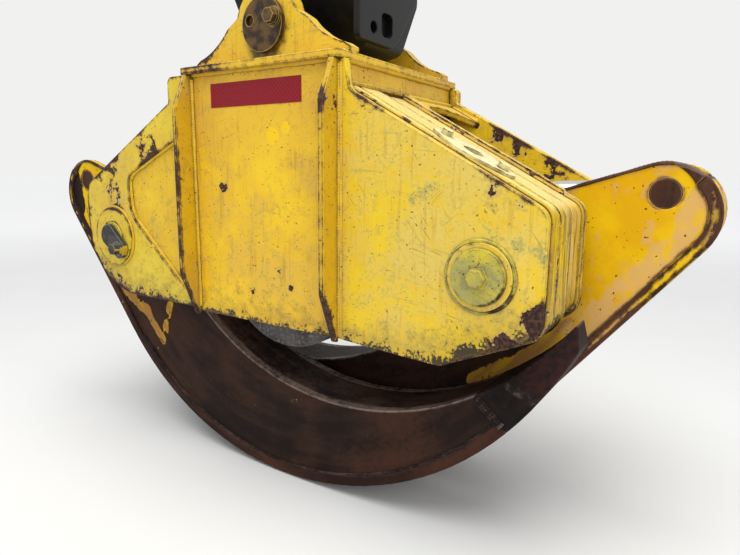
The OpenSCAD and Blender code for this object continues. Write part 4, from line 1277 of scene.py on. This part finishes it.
@dataclass
class Hanger:
    """The two lugs on the head, their pins, and above them the rotator and the boom link, in millimetres."""

    lug_front: float = -252.0
    lug_gauge: float = 36.0
    lug_foot: float = 473.0
    lug_half: float = 250.0
    bolt_ring: float = 157.0

    def lug_welds(self, side: str, turned: bool) -> None:
        """Beads along both feet of a lug on the top plate."""
        piece = Piece(f"{side}_lug_welds", "head", Dress.WELD, turned=turned)
        for k, y in enumerate((self.lug_front - 1, self.lug_front + self.lug_gauge + 1)):
            piece.straight((-self.lug_half, y, self.lug_foot), (self.lug_half, y, self.lug_foot), 8.0, 71 + k)
        piece.build()

    def flange_bolts(self) -> None:
        """A ring of bolts under the swivel's lower flange, and one on top of the upper flange."""
        lower = Piece("rotator_flange_bolts", "rotator", Dress.BLACK, drop=0.0)
        upper = Piece("swivel_flange_bolts", "link", Dress.BLACK, drop=0.0)
        for angle in np.radians(np.arange(0, 360, 30) + 15).tolist():
            x, y = self.bolt_ring * math.cos(angle), self.bolt_ring * math.sin(angle)
            lower.hex_bolt((x, y, -144.0), (0, 0, -1), 17, 9, angle)
            upper.hex_bolt((x, y, -86.0), (0, 0, 1), 17, 9, angle)
        lower.build()
        upper.build()

    def build(self) -> None:
        """Dresses the nodes and adds the bolts and welds."""
        for side, turned in SIDES:
            dressed_copy(f"{side}_hanger_lug", Dress.TOP, 3.0)
            dressed_copy(f"{side}_hanger_pin", Dress.PIN, 2.5)
            self.lug_welds(side, turned)
        for node in ("boom_link", "swivel_plate", "rotator_drum", "rotator_block", "rotator_bracket"):
            dressed_copy(node, Dress.BLACK, 3.5)
        self.flange_bolts()


@dataclass
class Tong:
    """One tong, its pin with cap and flag, and its cylinder. Tong b is tong a half a turn round.

    Millimetres in the head's frame, and degrees from +x. outer, ear and root are circles: x, z and radius. The
    wrapper ends at wrap_end on the ear's circle, and the ear's and the root's common tangent touches at tangent.
    """

    letter: str
    outer: tuple[float, float, float] = (0.0, 214.0, 866.0)
    ear: tuple[float, float, float] = (-890.0, 122.0, 114.0)
    root: tuple[float, float, float] = (-605.0, 0.0, 144.0)
    low_y: float = -216.0
    high_y: float = -24.0
    cheek_inset: float = 7.0
    wrapper: float = 28.0
    wrap_end: float = 132.0
    tangent: float = 72.5
    weld_angle: float = -41.0

    @property
    def turned(self) -> bool:
        """Whether this is the half-turned tong."""
        return self.letter == "b"

    @property
    def wrap(self) -> Dress:
        """The finish of the bent outer plate."""
        return Dress.WRAP_B if self.turned else Dress.WRAP_A

    def cheek_faces(self) -> tuple[float, float]:
        """The y of both cheeks' outer faces."""
        return self.low_y + self.cheek_inset, self.high_y - self.cheek_inset

    def dress(self) -> None:
        """Gives each node of the tong its finish."""
        finishes = {"cheeks": Dress.TONG_B if self.turned else Dress.TONG_A, "wrapper": self.wrap,
                    "liner": Dress.LINER, "tip": Dress.TIP, "hub": Dress.HUB, "ear_pin": Dress.EAR_PIN}
        for part, finish in finishes.items():
            dressed_copy(f"tong_{self.letter}_{part}", finish, 4.0 if part in ("tip", "wrapper") else 2.0)

    def seam_welds(self) -> None:
        """Beads in the corner between cheeks and wrapper, and across the tip's seam."""
        piece = Piece(f"tong_{self.letter}_seam_welds", f"tong_{self.letter}", Dress.TIP, turned=self.turned)
        cx, cz, radius = self.outer
        angle = np.radians(np.linspace(self.weld_angle - 1, -138, 160))
        r = radius - self.wrapper - 1
        corner = np.stack([cx + r * np.cos(angle), cz + r * np.sin(angle)], axis=1)
        for k, (y, sign) in enumerate(zip(self.cheek_faces(), (-1, 1))):
            piece.bead(at_depth(corner, y + sign * 0.5), 5.5, 81 + k)
            piece.bead(self.tip_seam(y + sign * 3.0), 11.0, 91 + k, pitch=11.0)
        piece.build()

    def run_out(self) -> list[np.ndarray]:
        """Grids of the wrapper's ground-down end on both cheeks.

        Round the ear, over 34 degrees, the section shrinks from 27 mm wide and 6.6 mm proud to 7 and 2 mm. The section
        is a squared-off ring: cosine and sine, each raised to the power 0.6 with its sign kept.
        """
        turn = np.radians(np.linspace(-1, -34, 24) + self.wrap_end)
        share = np.linspace(0, 1, 24)[:, None]
        wide, proud = 27 - 20 * share, 6.6 - 4.6 * share
        around = np.linspace(0, 2 * math.pi, 24, endpoint=False)[None]
        cosine, sine = (np.sign(f) * np.abs(f) ** 0.6 for f in (np.cos(around), np.sin(around)))
        x, z, ear_radius = self.ear
        radius = ear_radius - 0.5 - wide / 2 + cosine * wide / 2
        spread = np.ones_like(radius)
        return [np.stack([x + radius * np.cos(turn)[:, None], spread * y + proud * sine,
                          z + radius * np.sin(turn)[:, None]], axis=2) for y in self.cheek_faces()]

    def ear_edges(self) -> None:
        """A bead along the top edge of the ear on both cheeks, from the wrapper's end to the root, and the run-out."""
        piece = Piece(f"tong_{self.letter}_ear_edges", f"tong_{self.letter}", self.wrap, turned=self.turned)
        x, z, radius = self.ear
        angle = np.radians(np.linspace(self.wrap_end, self.tangent, 30))
        curve = np.array([x, z]) + (radius - 4) * np.stack([np.cos(angle), np.sin(angle)], axis=1)
        x, z, radius = self.root
        end = math.radians(self.tangent)
        last = np.array([x, z]) + (radius - 4) * np.array([math.cos(end), math.sin(end)])
        line = resample(np.vstack([curve, last[None]]), OUTLINE_STEP)
        for k, y in enumerate(self.cheek_faces()):
            piece.bead(at_depth(line, y), 4.5, 101 + k, pitch=9.0)
        for grid in self.run_out():
            piece.surface(grid)
        piece.build()

    def tip_seam(self, y: float) -> np.ndarray:
        """Points (n, 3) straight across a cheek at the tip's weld, from the inner edge to the outer edge."""
        angle = math.radians(self.weld_angle)
        ray = np.array([math.cos(angle), math.sin(angle)])
        far = np.array(self.outer[:2]) + ray * (self.outer[2] - 10)
        near = np.array(self.outer[:2]) + ray * (self.outer[2] - 104)
        return at_depth(np.stack([near, far]), y)

    def pins_and_cylinder(self) -> None:
        """Dresses the pin, its flag, the cylinder's anchor pin, its barrel and its rod."""
        dressed_copy(f"tong_pin_{self.letter}", Dress.CAP, 3.0)
        dressed_copy(f"pin_flag_{self.letter}", Dress.FLAG, 4.0)
        dressed_copy(f"anchor_pin_{self.letter}", Dress.PIN, 2.0)
        dressed_copy(f"barrel_{self.letter}", Dress.BARREL, 3.0)
        dressed_copy(f"rod_{self.letter}", Dress.CHROME, 1.5)

    def build(self) -> None:
        """Dresses and adds everything."""
        self.dress()
        self.seam_welds()
        self.ear_edges()
        self.pins_and_cylinder()


def main() -> None:
    """Builds the studio and the grapple."""
    Studio().build()
    for part in (Head(), Hanger(), Tong("a"), Tong("b")):
        part.build()
        log.info("%s is done", type(part).__name__)


if __name__ == "__main__":
    logging.basicConfig(level=logging.INFO, format="%(name)s %(message)s")
    main()
